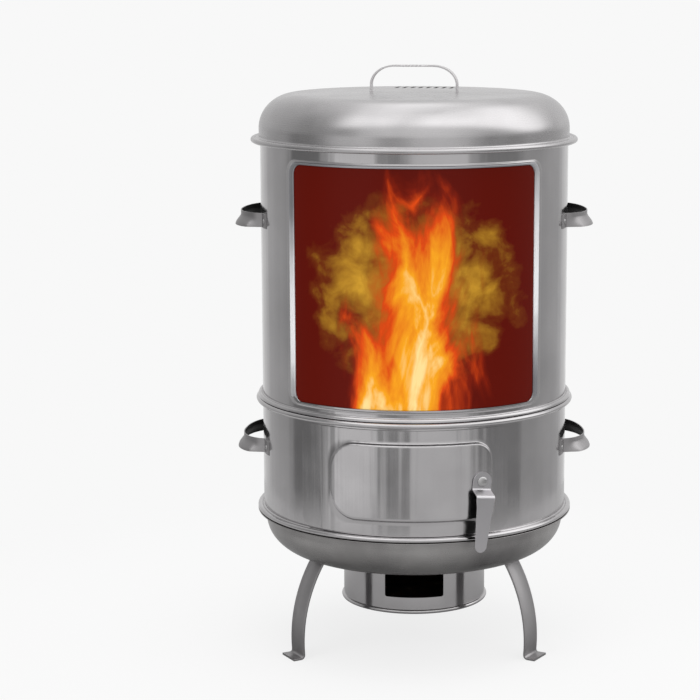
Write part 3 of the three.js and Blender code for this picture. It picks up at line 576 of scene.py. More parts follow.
def repaint(piece, material, chosen):
    """Gives a second material to the faces that `chosen` picks from their centres in mm and
    their normals."""
    faces = piece.data.polygons
    picked = chosen(read(faces, "center") / MM, read(faces, "normal"))
    piece.data.materials.append(bpy.data.materials[material])
    faces.foreach_set("material_index", picked.astype(np.int32))


def seat(piece, body, slot, *nodes):
    """Fixes a piece on its body, and lets it stand for the CAD nodes named."""
    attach(piece, body)
    if nodes:
        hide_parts(*nodes)
    return piece


def cut(piece, grids):
    """Takes closed solids out of a piece, with an exact boolean that is applied at once."""
    tool = bpy.data.objects.new("cutter", build_mesh("cutter", grids))
    bpy.context.scene.collection.objects.link(tool)
    bite = piece.modifiers.new("bite", "BOOLEAN")
    bite.object = tool
    bite.solver = "EXACT"
    graph = bpy.context.evaluated_depsgraph_get()
    result = bpy.data.meshes.new_from_object(piece.evaluated_get(graph))
    piece.modifiers.clear()
    piece.data = result
    bpy.data.objects.remove(tool)
    result.set_sharp_from_angle(angle=math.radians(SHARP))


def prism(outline, near, far):
    """An (x, z) outline drawn from y = near to y = far."""
    y = np.array([near, far])[:, None]
    return np.stack(np.broadcast_arrays(outline[None, :, 0], y, outline[None, :, 1]), -1)


# Profiles of the rolled shells


def rolled_bead(wall, radius, edge, up, bulge=ROLL_EDGE):
    """A sheet's end rolled outwards and pressed a little flat, ROLL_HIGH radii high: most of an
    ellipse, `radius` wide, that ends at the edge. Its quarter at the edge is `bulge` of the
    radius high, and the rest of the height belongs to the quarter at the wall."""
    whole, near = up * radius * ROLL_HIGH, up * radius * bulge
    centre = (wall + 0.2 + radius, edge - near)
    return run(
        [wall, edge - whole],
        arc(centre, radius, whole - near, -135, 0, 15),
        arc(centre, radius, near, 0, 90, 10)[1:],
    )


def shell_profile(radius, low, high, low_roll, high_roll, low_bulge=ROLL_EDGE):
    """A rolled wall with a bead at its foot and one at its top."""
    inside = radius - SHEET
    return run(
        [inside, low],
        rolled_bead(radius, low_roll, low, -1, low_bulge)[::-1],
        rolled_bead(radius, high_roll, high, 1),
        [inside, high],
    )


def bowl_height(radius):
    """Underside of the fire bowl: a slightly sloping floor, then a quarter ellipse."""
    floor = BOWL[0] + BOWL_RISE * (radius - BOWL_HOLE) / (BOWL_TURN - BOWL_HOLE)
    out, up = BOWL_SIDE
    middle = BOWL[0] + BOWL_RISE + up
    corner = middle - up * np.sqrt(np.maximum(1 - ((radius - BOWL_TURN) / out) ** 2, 0))
    return np.where(radius < BOWL_TURN, floor, corner)


def lid_profile(offset):
    """Half the lid, from the top of its crown to the foot of its side: a shallow parabola,
    then a quarter ellipse. The offset goes inwards, by one sheet."""
    base = LID_TOP - LID_RISE
    radius = np.linspace(0, LID_CROWN, 13)[:-1]
    crown = base + LID_RISE * (1 - (radius / LID_CROWN) ** 2) - offset
    out, up = LID_SIDE
    side = arc((LID_CROWN, base - up), out - offset, up - offset, 90, 0, 40)
    return run(np.column_stack((radius, crown)), side)


# Sizes and colours


def a_size(name, description, mm):
    return bpy.props.FloatProperty(
        name=name, description=description, default=mm * MM, unit="LENGTH"
    )


def an_angle(name, description, degrees):
    return bpy.props.FloatProperty(
        name=name, description=description, default=math.radians(degrees), subtype="ANGLE"
    )


def a_colour(name, description, hex_colour):
    return bpy.props.FloatVectorProperty(
        name=name, description=description, default=linear(hex_colour)[:3], subtype="COLOR"
    )


class OvenSizes(bpy.types.PropertyGroup):
    """Sizes that a user would change."""

    wall_radius: a_size("Wall radius", "Outside radius of the barrel and the base", 225)
    barrel_roll: a_size("Barrel roll", "Radius of the roll at the barrel's foot", 3.3)
    seam_roll: a_size("Seam roll", "Radius of the base's top roll, under the barrel", 4.75)
    foot_roll: a_size("Foot roll", "Radius of the roll at the base's foot", 4.4)
    top_roll: a_size("Top roll", "Radius of the roll under the lid", 2.9)
    handle_reach: a_size("Handle reach", "How far the side handles stand off the wall", 29)
    leg_width: a_size("Leg width", "Width of the flat strip that the legs are bent from", 38)
    latch_lean: an_angle("Latch lean", "How far the hanging latch leans to the left", 6.5)
    lid_turn: an_angle("Lid turn", "How far the lid is turned on the barrel", -8)


class OvenColours(bpy.types.PropertyGroup):
    """Colours that a user would change."""

    ground: a_colour("Enamel ground", "Dark ground of the picture panel", "#5a0d03")
    glow: a_colour("Glow", "Golden haze behind the flames", "#9a6a1c")
    flame: a_colour("Flame", "Body of the flames", "#d8480e")
    spark: a_colour("Spark", "Bright parts of the flames", "#f2a21e")
    backdrop: a_colour("Backdrop", "Pale floor and background", "#f8f8f8")


# Operators: one for each piece, or group of like pieces

SHEET_STEEL = "stainless_sheet_cold_rolled"
STRIP_STEEL = "stainless_strip_brushed"
BAR_STEEL = "stainless_bar_mill_finish"
WIRE = "wire_nickel_plated"
# Near-black painted shade, for the insides of the side handles and the back of the latch's grip
SHADE_BLACK = "painted_shade_black"
# Each finish: (name, dark and light tint, smooth and rough, grain in mm and how it runs, and
# how deep in mm the grain, the dents and the roll marks are)
STEELS = (
    # Bright cold-rolled sheet: a soft mirror. Its real grain is 0.1 mm and is drawn 1 mm.
    (SHEET_STEEL, "#b7b5b6", "#c6c4c5", 0.09, 0.19, 1.0, "upright", 0.02, 0.25, 0.5),
    # The door's sheet, drawn over its die: upright draw marks show as narrow bright streaks.
    ("stainless_sheet_drawn", "#b7b5b6", "#c6c4c5", 0.14, 0.24, 1.0, "upright", 0.02, 0.25, 1.9),
    # Pressed sheet: drawing the lid and the pan dulls the mirror and leaves it wavy.
    ("stainless_sheet_pressed", "#b5b3b4", "#c4c2c3", 0.22, 0.32, 0.9, "spun", 0.01, 1.3),
    # The bowl: the same pressed sheet, a little duller and wavier, with its tint darkened as
    # painted shade.
    ("stainless_sheet_pressed_painted_shade", "#7d7b7b", "#aaa8a7", 0.24, 0.34, 0.9, "spun", 0.01, 1.8),
    # Flat bar with a ground, brushed face: duller than the sheet.
    (STRIP_STEEL, "#b4b2b5", "#c6c4c6", 0.28, 0.35, 0.5, "upright", 0.01, 0.2),
    # The legs and the side handles are bar as it leaves the mill: duller still, and grey.
    (BAR_STEEL, "#989697", "#a9a7a8", 0.4, 0.52, 0.7, "upright", 0.02, 0.3),
    # The bail is the brushed bar, bead blasted: an even pale haze.
    ("stainless_strip_blasted", "#cfcdce", "#dcdadb", 0.46, 0.56, 0.5, "level", 0.02, 0.2),
    # Drawn wire, nickel plated: bright with a soft haze.
    (WIRE, "#a9a8a8", "#bdbcbc", 0.2, 0.34, 0.6, "level", 0.03, 0.1),
)


class OVEN_OT_finishes(bpy.types.Operator):
    """Make the materials"""

    bl_idname = "oven.finishes"
    bl_label = "Finishes"

    def execute(self, context):
        colours = context.scene.oven_colours
        for steel in STEELS:
            steel_sheet(*steel)
        trim_with_painted_highlight(*PICTURE, 170)
        fired_plate_and_painted_shade()
        painted_shade_coat()
        enamel_print(colours.ground, colours.glow, colours.flame, colours.spark)
        return {"FINISHED"}


class OVEN_OT_stand(bpy.types.Operator):
    """Make the fire bowl, the ash drum, the base and its collar"""

    bl_idname = "oven.stand"
    bl_label = "Stand"

    def execute(self, context):
        sizes = context.scene.oven_sizes
        wall = sizes.wall_radius / MM

        # The bowl: floor, side, and a level rim that lies under the base's foot roll
        rim, rim_radius = BOWL[1], 233.3
        side = BOWL_TURN + BOWL_SIDE[0]
        centre = (BOWL_TURN, BOWL[0] + BOWL_RISE + BOWL_SIDE[1])
        outside, inside = (
            run([BOWL_HOLE, BOWL[0] + depth], arc(centre, *(BOWL_SIDE - depth), -90, 0, 40))
            for depth in (0, SHEET)
        )
        bowl = run(
            outside,
            arc((side + 2, rim - SHEET - 2), 2, 2, 180, 90, 6),
            arc((rim_radius, rim - SHEET / 2), SHEET / 2, SHEET / 2, -90, 90, 6),
            [side - SHEET, rim],
            inside[::-1],
        )
        # The bowl's darker tint is painted shade
        piece = lathed("fire_bowl_pressed", bowl, "stainless_sheet_pressed_painted_shade")
        seat(piece, "stand", "satin_stainless", "fire_bowl")

        # The drum's flange hooks over the bowl's floor, round the hole.
        flange = BOWL[0] + SHEET + SEAT_GAP
        drum, roll, lip = 106, 3.2, 120
        section = run(
            [0, DRUM_LOW],
            arc((drum, DRUM_LOW + roll), roll, roll, -90, 90, 16),
            [[drum, DRUM_LOW + 8], [drum, flange - 2]],
            arc((drum + 2, flange - 2), 2, 2, 180, 90, 6),
            [[lip, flange + 0.8], [lip, flange + 0.8 + SHEET]],
            [[drum - SHEET, flange + SHEET], [drum - SHEET, DRUM_LOW + SHEET]],
            [0, DRUM_LOW + SHEET],
        )
        piece = lathed("ash_drum_rolled", section, SHEET_STEEL)
        # The air inlet, 86 mm by 35 mm
        top = BOWL[0] - 15
        inlet = oblong(-43, 43, top - 35, top, (3, 3), (3, 3), 5, 8, 4)
        cut(piece, [(prism(inlet, -112, -60), False)])

        # Painted shade: the faces inside the drum, above its bottom sheet, take the fired plate's
        # dark colours
        def shaded_drum_inside(centres, normals):
            radius = np.hypot(centres[:, 0], centres[:, 1])
            return (radius < drum - 1) & (centres[:, 2] > DRUM_LOW + 0.8)

        repaint(piece, "mild_steel_fired_and_painted_shade", shaded_drum_inside)
        seat(piece, "stand", "satin_stainless", "ash_drum")

        profile = shell_profile(wall, *BASE, sizes.foot_roll / MM, sizes.seam_roll / MM)
        base = lathed("base_rolled", profile, SHEET_STEEL)
        # The fire opening, which the door overlaps all round
        opening = oblong(-138.5, 109, DOOR[0] + 12, DOOR[1] - 12, (12, 12), (12, 12), 8, 8, 4)
        cut(base, [(prism(opening, -wall - 5, -100), False)])
        seat(base, "stand", "satin_stainless", "base_shell")

        outer = wall - SHEET - 0.8
        drawn_in = outer - 0.9
        low, high = heights("locating_collar")
        collar = run(
            [[outer - SHEET, low], [outer - 0.6, low], [outer, low + 0.6], [outer, high - 3]],
            [[drawn_in, high], [drawn_in - SHEET, high], [outer - SHEET, high - 3]],
        )
        piece = lathed("collar_rolled", collar, STRIP_STEEL)
        seat(piece, "stand", "brushed_stainless", "locating_collar")
        return {"FINISHED"}


class OVEN_OT_legs(bpy.types.Operator):
    """Make the three bowed strip legs"""

    bl_idname = "oven.legs"
    bl_label = "Legs"

    def execute(self, context):
        half = context.scene.oven_sizes.leg_width / MM / 2
        thick, bow, bend = 3.0, 218.0, 5.0
        inner, tab_end = 112.8, 125
        centre = np.array((-20.0, 25.0))

        def angle(z):
            return math.asin((z - centre[1]) / bow)

        def under_bowl(radius):
            """Height of the strip's middle where it lies against the bowl."""
            return float(bowl_height(np.float64(radius))) - SEAT_GAP - thick / 2

        # The bow's upper end is where it meets the bowl, found in a few rounds
        top = angle(BOWL[0])
        for _ in range(6):
            top = angle(under_bowl(centre[0] + bow * math.cos(top)))
        start = angle(thick + bend)
        foot = centre[0] + bow * math.cos(start)
        tab = (inner, under_bowl(inner))
        bowed = arc(centre, bow, bow, math.degrees(start), math.degrees(top), 30)
        line = run(
            [[foot + 17, thick / 2], [foot + 10, thick / 2]],
            arc((foot + bend, thick / 2 + bend), bend, bend, 270, 180, 8),
            bowed[:-1],
            fillet(bowed[-1], bowed[-3], tab, 4.0),
            [[tab_end, under_bowl(tab_end)], tab],
        )
        for side, azimuth in (("left", -60), ("right", 60), ("rear", 180)):
            grid = turn(facing_front(strip(line, half, thick)), azimuth)
            piece = solid(f"leg_strip_{side}", grid, BAR_STEEL, 50)
            seat(piece, "stand", "brushed_stainless", f"leg_{side}")
        return {"FINISHED"}


# The side handles: the band's height, the flare of its lower half, how far its rivets lie under
# its top, and how many degrees they lie from its middle. HANDLES says where each handle is.
HANDLE_HIGH, HANDLE_FLARE, HANDLE_RIVET, HANDLE_TAB = 20.5, 8.4, 10.2, 24
HANDLES = (("left", -97.5), ("right", 97.5))


def handle_grid(wall, reach, top):
    """A side handle at the front: a strip whose ends lie on the wall, bowed out between them.

    Along its line, the section is a band HANDLE_HIGH high whose lower half flares outwards like
    the mouth of a bell, and the flare fades out where the strip meets the wall. The strip thins
    to a feather edge at its two ends.
    """
    # In plan: the end that lies on the wall, by azimuth, the root where it leaves it, and a
    # bow from there, in shares of the half width and of the reach
    ends, root = np.array([27, 26.8, 26.5, 26.1, 25, 23.8, 22.4, 20.8]), 20.5
    seated = around(wall + 0.15, ends, 0.0)[:, :2] * (1, -1)
    root = around(wall + 0.15, root, 0.0)[:2] * (1, -1)
    out = wall + reach - root[1]
    shares = np.array([[1, 0], [0.95, 0.3], [0.82, 0.6], [0.6, 0.84], [0.3, 0.97], [0, 1.0]])
    loop = np.column_stack((root[0] * shares[:, 0], root[1] + out * shares[:, 1]))
    loop = np.vstack((loop, (loop[:-1] * (-1, 1))[::-1]))
    curve = smooth_through(loop, 8)
    line = np.vstack((seated, curve, (seated * (-1, 1))[::-1]))
    along = directions(line)
    outward = np.column_stack((along[:, 1], -along[:, 0]))
    fade = s_curve(np.clip((np.abs(root[0]) - np.abs(line[:, 0])) / 9.0, 0, 1))
    share = np.linspace(0, 1, 21)
    flare = np.interp(share, [0, 0.3, 0.42, 0.56, 0.7, 0.85, 1], [0, 0, 0.1, 0.32, 0.6, 0.86, 1])
    from_end = np.minimum(np.arange(len(line)), np.arange(len(line))[::-1])
    thick = np.interp(from_end, [0, 1, 2, 3, 4], [0.3, 0.6, 1.0, 1.35, 1.5])
    back = HANDLE_FLARE * fade[:, None] * flare
    front = thick[:, None] + back
    push = np.concatenate((back, front[:, ::-1]), 1)
    height = np.concatenate((share, share[::-1]))
    x = line[:, :1] + outward[:, :1] * push
    y = line[:, 1:] + outward[:, 1:] * push
    z = np.broadcast_to(top - HANDLE_HIGH * height, x.shape)
    return np.stack((x, -y, z), -1)


def rivet_grid(radius, height, reach, z, azimuth, turns=24):
    """A rivet's domed head that stands out from a wall: a low half ellipse turned about a
    line square to the wall."""
    profile = run(arc((0, 0), radius, height, 90, 0, 8), [radius, -0.4], [0, -0.4])
    head = turned(profile, turns)
    outward = np.stack((head[..., 0], -reach - head[..., 2], z + head[..., 1]), -1)
    return turn(outward, azimuth)


class OVEN_OT_side_handles(bpy.types.Operator):
    """Make the four side handles with their rivets"""

    bl_idname = "oven.side_handles"
    bl_label = "Side handles"

    def execute(self, context):
        sizes = context.scene.oven_sizes
        wall, reach = sizes.wall_radius / MM, sizes.handle_reach / MM
        for owner, body in (("base", "stand"), ("barrel", "barrel")):
            for side, azimuth in HANDLES:
                node = f"{owner}_handle_{side}"
                top = heights(node)[1]
                grid = turn(handle_grid(wall, reach, top), azimuth)
                loop = solid(f"{node}_strip", grid, BAR_STEEL, 40)
                middle = top - HANDLE_RIVET
                centre = around(wall + 2, azimuth, middle)

                # Painted shade: the faces inside the handle's bow, which face back towards the
                # wall, take the near-black coat
                def inner(centres, normals):
                    inwards = ((centre - centres)[:, :2] * normals[:, :2]).sum(1)
                    return (inwards > 0) & (np.abs(normals[:, 2]) < 0.7)

                repaint(loop, SHADE_BLACK, inner)
                seat(loop, body, "satin_stainless", node)
                heads = [
                    (rivet_grid(3.4, 1.5, wall + 1.65, middle, azimuth + shift), True)
                    for shift in (-HANDLE_TAB, HANDLE_TAB)
                ]
                rivets = new_piece(f"{node}_rivets", heads, WIRE)
                seat(rivets, body, "plated_wire")
        return {"FINISHED"}


def wrapped_plate(levels, inner, outer, height):
    """A closed plate wrapped on a cylinder, from outlines of (azimuth, z) that run from its
    edge to its middle. `height` lifts both faces at each outline or point."""
    height = np.asarray(height, float)
    faces = [around(radius + height, levels[..., 0], levels[..., 1]) for radius in (inner, outer)]
    return np.concatenate((faces[0][::-1], faces[1]))


# How far the door's back and face lie off the wall, and how far its panel is raised
DOOR_BACK, DOOR_FACE, DOOR_PANEL = 0.9, 2.1, 4.2


class OVEN_OT_fire_door(bpy.types.Operator):
    """Make the pressed fire door"""

    bl_idname = "oven.fire_door"
    bl_label = "Fire door"

    def execute(self, context):
        wall = context.scene.oven_sizes.wall_radius / MM
        per_mm = math.degrees(1 / wall)
        left, crease, right = -44.6, -35.6, 35.6
        corner = 16

        def outline(far_left, inset_right, inset_low, inset_high, left_corner, right_corner):
            return oblong(
                far_left,
                right - inset_right * per_mm,
                DOOR[0] + inset_low,
                DOOR[1] - inset_high,
                (left_corner * per_mm, left_corner),
                (right_corner * per_mm, right_corner),
                grade=1.8,
            )

        def raised(inset):
            """The raised panel, 50.5 mm in from the left end, and rounder at its left."""
            inner_left = left + (50.5 + inset) * per_mm
            insets = 26 + inset, 18.3 + inset, 17.6 + inset
            return outline(inner_left, *insets, 42 - inset, 28 - inset)

        # The flank of the raised panel leans in by 4 mm as it rises, in an S curve. Close to
        # the crease, the plate dips into it as a bell curve of the distance.
        near = [0, 0.008, 0.016, 0.03, 0.045, 0.06, 0.08, 0.11, 0.16, 0.3, 0.5, 0.75, 1]
        flank = np.linspace(0, 1, 9)[1:]
        edge = outline(crease + 0.03, 0, 0, 0, 0.4, corner)
        foot, brow, shallow = (raised(inset) for inset in (0, 4, 9.5))
        inwards = (
            between(edge, foot, near),
            between(foot, brow, flank),
            between(brow, shallow, [0.5, 1]),
            between(shallow, onto_middle(shallow), flank),
        )
        levels = np.concatenate(inwards)
        flat = np.ones(len(levels) - len(near) - len(flank))
        lift = np.concatenate((np.zeros(len(near)), s_curve(flank), flat))[:, None] * DOOR_PANEL
        dip = -0.8 * np.exp(-(((levels[..., 0] - crease) / per_mm / 1.1) ** 2))
        plate = wrapped_plate(levels, wall + DOOR_BACK, wall + DOOR_FACE, lift + dip)

        # Left of the crease the plate is flat: straight in plan, with rounded left corners
        share = np.linspace(0, 1, 36)[:, None] ** 1.5
        ends = ((DOOR_FACE, left), (DOOR_FACE - 0.9, crease - 0.03))
        ends = [around(wall + off, azimuth, 0.0) for off, azimuth in ends]
        plan = ends[0] * (1 - share) + ends[1] * share
        inward = -plan / np.linalg.norm(plan, axis=1, keepdims=True)
        from_left = share * (crease - left) / per_mm
        short = np.clip(corner - from_left, 0, corner)
        cut_back = corner - np.sqrt(corner**2 - short**2)
        up = np.linspace(0, 1, 24)
        z = DOOR[0] + cut_back + (DOOR[1] - DOOR[0] - 2 * cut_back) * up
        depth = np.repeat((0, SHEET), len(up))[None, :, None]
        flap = plan[:, None] + inward[:, None] * depth
        flap = np.dstack((flap[..., 0], flap[..., 1], np.concatenate((z, z[:, ::-1]), 1)))
        grids = [(plate, False), (flap, False)]
        door = new_piece("fire_door_pressed", grids, "stainless_sheet_drawn", 50)
        seat(door, "door", "satin_stainless", "fire_door")
        return {"FINISHED"}


def node_reach(name, azimuth):
    """The least distance in mm that a CAD node's corners lie out along an azimuth."""
    points = read(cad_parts[name].data.vertices, "co") / MM
    a = math.radians(azimuth)
    return float((points[:, 0] * math.sin(a) - points[:, 1] * math.cos(a)).min())


class OVEN_OT_latch(bpy.types.Operator):
    """Make the cranked latch and its rivet"""

    bl_idname = "oven.latch"
    bl_label = "Latch"

    def execute(self, context):
        sizes = context.scene.oven_sizes
        wall, azimuth = sizes.wall_radius / MM, 24.2
        pivot = DOOR[0] + 74.5
        # In profile: from the tab on the panel's face, out at the crank, and down the grip
        face = wall + DOOR_FACE + DOOR_PANEL + SEAT_GAP
        near, far = face + 1, face + 18
        tab, grip = 14.3, 9
        bend, tip = pivot - 11.5, pivot - 98
        top = (near, pivot + tab)
        shoulder, knee, end = (near, bend), (far, bend - 6.5), (far, tip)
        crank = (fillet(shoulder, top, knee, 3.5), fillet(knee, shoulder, end, 3.5))
        line = spread(run(top, *crank, end), 150)
        # Half the width: the round tab and the crank, drawn in to the grip's round tip
        z = line[:, 1]
        broad = np.interp(z, [tip + grip, bend - 22, bend - 12], [grip, 12.4, tab])
        head = np.sqrt(np.clip(tab**2 - np.maximum(z - pivot, 0) ** 2, 0, None))
        tail = np.sqrt(np.clip(grip**2 - np.maximum(tip + grip - z, 0) ** 2, 0, None))
        half = np.where(z < tip + grip, tail, np.minimum(broad, head))
        grid = facing_front(strip(line, half, 2.0))
        lean = sizes.latch_lean
        x, up = grid[..., 0].copy(), grid[..., 2] - pivot
        grid[..., 0] = x * math.cos(lean) + up * math.sin(lean)
        grid[..., 2] = pivot - x * math.sin(lean) + up * math.cos(lean)
        latch = solid("latch_crank", turn(grid, azimuth), STRIP_STEEL, 40)
        outwards = around(1.0, azimuth, 0.0)

        # Painted shade: the back of the grip, which faces the door, takes the near-black coat
        def shaded_back_of_grip(centres, normals):
            return (normals @ outwards < -0.6) & (centres @ outwards > face + 8)

        repaint(latch, SHADE_BLACK, shaded_back_of_grip)
        seat(latch, "latch", "brushed_stainless", "latch_handle")

        # The rivet's domed head, its shank, and the foot that holds the tongue
        back = face + 2.3
        end = -(back - node_reach("latch_tongue", azimuth) + 0.6)
        foot = end - 1.2
        head = arc((0, 0), 7.6, 2.4, 90, 0, 12)
        profile = run(head, [[3, 0], [3, end], [6.5, end], [6.5, foot], [0, foot]])
        pin = turned(profile, 40)
        pin = np.stack((pin[..., 0], -back - pin[..., 2], pivot + pin[..., 1]), -1)
        rivet = new_piece("latch_rivet", [(turn(pin, azimuth), True)], WIRE)
        seat(rivet, "latch", "plated_wire", "latch_spindle")
        return {"FINISHED"}


class OVEN_OT_barrel(bpy.types.Operator):
    """Make the rolled barrel"""

    bl_idname = "oven.barrel"
    bl_label = "Barrel"

    def execute(self, context):
        sizes = context.scene.oven_sizes
        foot, head = sizes.barrel_roll / MM, sizes.top_roll / MM
        profile = shell_profile(sizes.wall_radius / MM, *BARREL, foot, head, low_bulge=0.25)
        barrel = lathed("barrel_rolled", profile, SHEET_STEEL)
        seat(barrel, "barrel", "satin_stainless", "barrel_shell")
        return {"FINISHED"}


# The trim's section, as (share of the way, height off the wall): up from the picture to the
# raised lip, then down the fall outside it
TRIM_LIP = ((0.0, 0.0), (0.0, 1.9), (0.06, 2.3), (0.3, 2.4), (0.9, 2.38))
TRIM_FALL = (
    *((0.0, 2.25), (0.05, 1.9), (0.1, 1.4), (0.15, 0.95), (0.21, 0.65), (0.3, 0.5)),
    *((0.85, 0.45), (0.96, 0.35), (1.0, 0.2), (1.0, 0.0)),
)


class OVEN_OT_picture(bpy.types.Operator):
    """Make the enamelled picture and its bright surround"""

    bl_idname = "oven.picture"
    bl_label = "Picture"

    def execute(self, context):
        wall = context.scene.oven_sizes.wall_radius / MM
        per_mm = math.degrees(1 / wall)
        half = 48

        def outline(across, up):
            side, corner = half + across * per_mm, 14 + up
            rounded = (corner * per_mm, corner)
            return oblong(-side, side, PICTURE[0] - up, PICTURE[1] + up, rounded, rounded)

        inner, lip, outer = outline(0, 0), outline(10, 3), outline(18.5, 6.6)
        rows = [
            around(wall + SEAT_GAP + lift, *(start * (1 - share) + end * share).T)
            for start, end, steps in ((inner, lip, TRIM_LIP), (lip, outer, TRIM_FALL))
            for share, lift in steps
        ]
        trim = new_piece("picture_trim", [(np.stack(rows), True)], SHEET_STEEL, 40)

        # Painted highlight: the raised lip, except along the picture's foot, takes the trim with
        # the painted white
        def highlighted_lip(centres, normals):
            raised = np.hypot(centres[:, 0], centres[:, 1]) > wall + SEAT_GAP + 0.75
            return raised & (centres[:, 2] > BARREL[0] + 22)

        repaint(trim, "aluminium_trim_painted_highlight", highlighted_lip)
        seat(trim, "barrel", "bright_surround", "picture_surround")

        panel = outline(-SEAT_GAP, -SEAT_GAP)
        levels = between(panel, onto_middle(panel), np.linspace(0, 1, 14))
        lift = np.concatenate(([-0.2], np.zeros(13)))[:, None]
        grid = wrapped_plate(levels, wall + WRAP_GAP, wall + WRAP_GAP + 0.8, lift)
        plate = solid("picture_enamel", grid, "enamel_on_steel_printed", 40)
        layer = plate.data.uv_layers.new(name="print")
        points = read(plate.data.vertices, "co") / MM
        azimuth = np.degrees(np.arctan2(points[:, 0], -points[:, 1]))
        low, high = panel[:, 1].min(), panel[:, 1].max()
        uv = ((azimuth + half) / (2 * half), (points[:, 2] - low) / (high - low))
        corners = np.empty(len(plate.data.loops), int)
        plate.data.loops.foreach_get("vertex_index", corners)
        layer.data.foreach_set("uv", np.column_stack(uv)[corners].ravel())
        seat(plate, "barrel", "enamel_picture", "picture_panel")
        return {"FINISHED"}


class OVEN_OT_rack(bpy.types.Operator):
    """Make the hanging ring and its four hooks"""

    bl_idname = "oven.rack"
    bl_label = "Hanging ring and hooks"

    def execute(self, context):
        rod, wire, radius = 4.0, 2.5, 150.0
        hoop = ring(radius, rod - 0.1, RING_Z)
        hoop = new_piece("ring_bent", [(hoop, True)], WIRE)
        seat(hoop, "rack", "plated_wire", "hanging_ring")
        # A hook, from the ring's middle: a crook over the ring, a neck cranked back under it at
        # -26 mm, and a straight shank down to the fork
        crook = rod + SEAT_GAP + wire
        neck = -26
        foot = neck - 88
        back, under = (-crook, neck / 3), (0, neck)
        spine = run(
            [[crook, -8], [crook, -3]],
            arc((0, 0), crook, crook, 0, 180, 20),
            [-crook, -3],
            fillet(back, (-crook, 0), under, 4),
            fillet(under, back, (0, foot), 6),
            np.column_stack((np.zeros(8), np.linspace(neck - 8, foot, 8))),
        )
        prongs = run(
            [[-20, foot + 22], [-20, foot + 15]],
            arc((-10, foot + 10), 10, 10, 180, 270, 10),
            arc((10, foot + 10), 10, 10, 270, 360, 10),
            [[20, foot + 15], [20, foot + 22]],
        )
        shank = (np.zeros(len(spine)), -radius - spine[:, 0], RING_Z + spine[:, 1])
        fork = (prongs[:, 0], np.full(len(prongs), -radius), RING_Z + prongs[:, 1])
        for place, azimuth in (("front", 0), ("right", 90), ("rear", 180), ("left", 270)):
            grids = [
                (turn(tube(np.column_stack(line), wire, square), azimuth), False)
                for line, square in ((shank, (1, 0, 0)), (fork, (0, 1, 0)))
            ]
            hook = new_piece(f"hook_{place}_bent", grids, WIRE)
            seat(hook, f"hook_{place}", "plated_wire", f"duck_hook_{place}")
        return {"FINISHED"}


class OVEN_OT_inside(bpy.types.Operator):
    """Make the trivet and the drip pan"""

    bl_idname = "oven.inside"
    bl_label = "Trivet and drip pan"

    def execute(self, context):
        rod, radius = 3.4, 96
        middle = TRIVET_TOP - rod
        foot = (0, -125.6, GRATE_TOP + SEAT_GAP + 0.8)
        grids = [(ring(radius, rod, middle, 120, 14), True)]
        for azimuth in (0, 120, 240):
            line = np.linspace((0, -radius, middle), foot, 12)
            grids.append((turn(tube(line, rod, (1, 0, 0)), azimuth), False))
        trivet = new_piece("trivet_welded", grids, WIRE)
        seat(trivet, "grate", "plated_wire", "pan_trivet")

        low, high = PAN
        corner = (101, low + 5)
        profile = run(
            [0, low],
            arc(corner, 5, 5, -90, -20, 8),
            [[116.2, high - 2.2], [118.5, high - 1.0], [121.4, high - 1.0]],
            arc((121.5, high - 0.5), 0.5, 0.5, -90, 90, 6),
            [[117.4, high], [115.6, high - 1.4]],
            arc(corner, 4.2, 4.0, -20, -90, 8),
            [0, low + 1],
        )
        pan = lathed("drip_pan_pressed", profile, "stainless_sheet_pressed")
        seat(pan, "pan", "satin_stainless", "drip_pan")
        return {"FINISHED"}


class OVEN_OT_lid(bpy.types.Operator):
    """Make the domed lid with its rolled rim, vents and skirt"""

    bl_idname = "oven.lid"
    bl_label = "Lid"

    def execute(self, context):
        sizes = context.scene.oven_sizes
        swing = math.degrees(sizes.lid_turn)
        outside = LID_CROWN + LID_SIDE[0]
        inside = outside - SHEET
        flange = LID_SEAT + SHEET
        rim = (234.7, LID_SEAT - 1.8)
        profile = run(
            lid_profile(0),
            [outside, flange + 3],
            arc((outside + 2.5, flange + 2.5), 2.5, 2.5, 180, 270, 6),
            arc(rim, 4, 4, 135, -180, 30),
            [[rim[0] - 4, LID_SEAT], [inside, LID_SEAT]],
            lid_profile(SHEET)[::-1],
        )
        lid = lathed("lid_spun", profile, "stainless_sheet_pressed")
        # The vents: slots in a row behind the bail
        round_end, half_slot, pitch, behind = 2.5, 20.5, 11.75, 114
        slot = run(
            arc((0, half_slot), round_end, round_end, 0, 180, 8),
            arc((0, -half_slot), round_end, round_end, 180, 360, 8),
        )
        cutters = []
        for k in range(8):
            floor = slot + (pitch * (k - 3.5), behind)
            levels = (LID_TOP - 9, LID_TOP + 5)
            ends = [np.column_stack((floor, np.full(len(floor), z))) for z in levels]
            cutters.append((turn(np.stack(ends), swing), False))
        cut(lid, cutters)
        seat(lid, "lid", "satin_stainless", "lid_shell")

        wide, narrow = inside - SEAT_GAP, sizes.wall_radius / MM - SHEET - 0.8
        low, high = heights("lid_skirt")
        band = run(
            [[narrow - SHEET, low], [narrow - 0.5, low], [narrow, low + 0.6], [narrow, LID_SEAT]],
            [[wide, high - 6], [wide, high], [wide - SHEET, high], [wide - SHEET, high - 6]],
            [narrow - SHEET, LID_SEAT],
        )
        skirt = lathed("skirt_rolled", band, STRIP_STEEL)
        seat(skirt, "lid", "brushed_stainless", "lid_skirt")
        return {"FINISHED"}


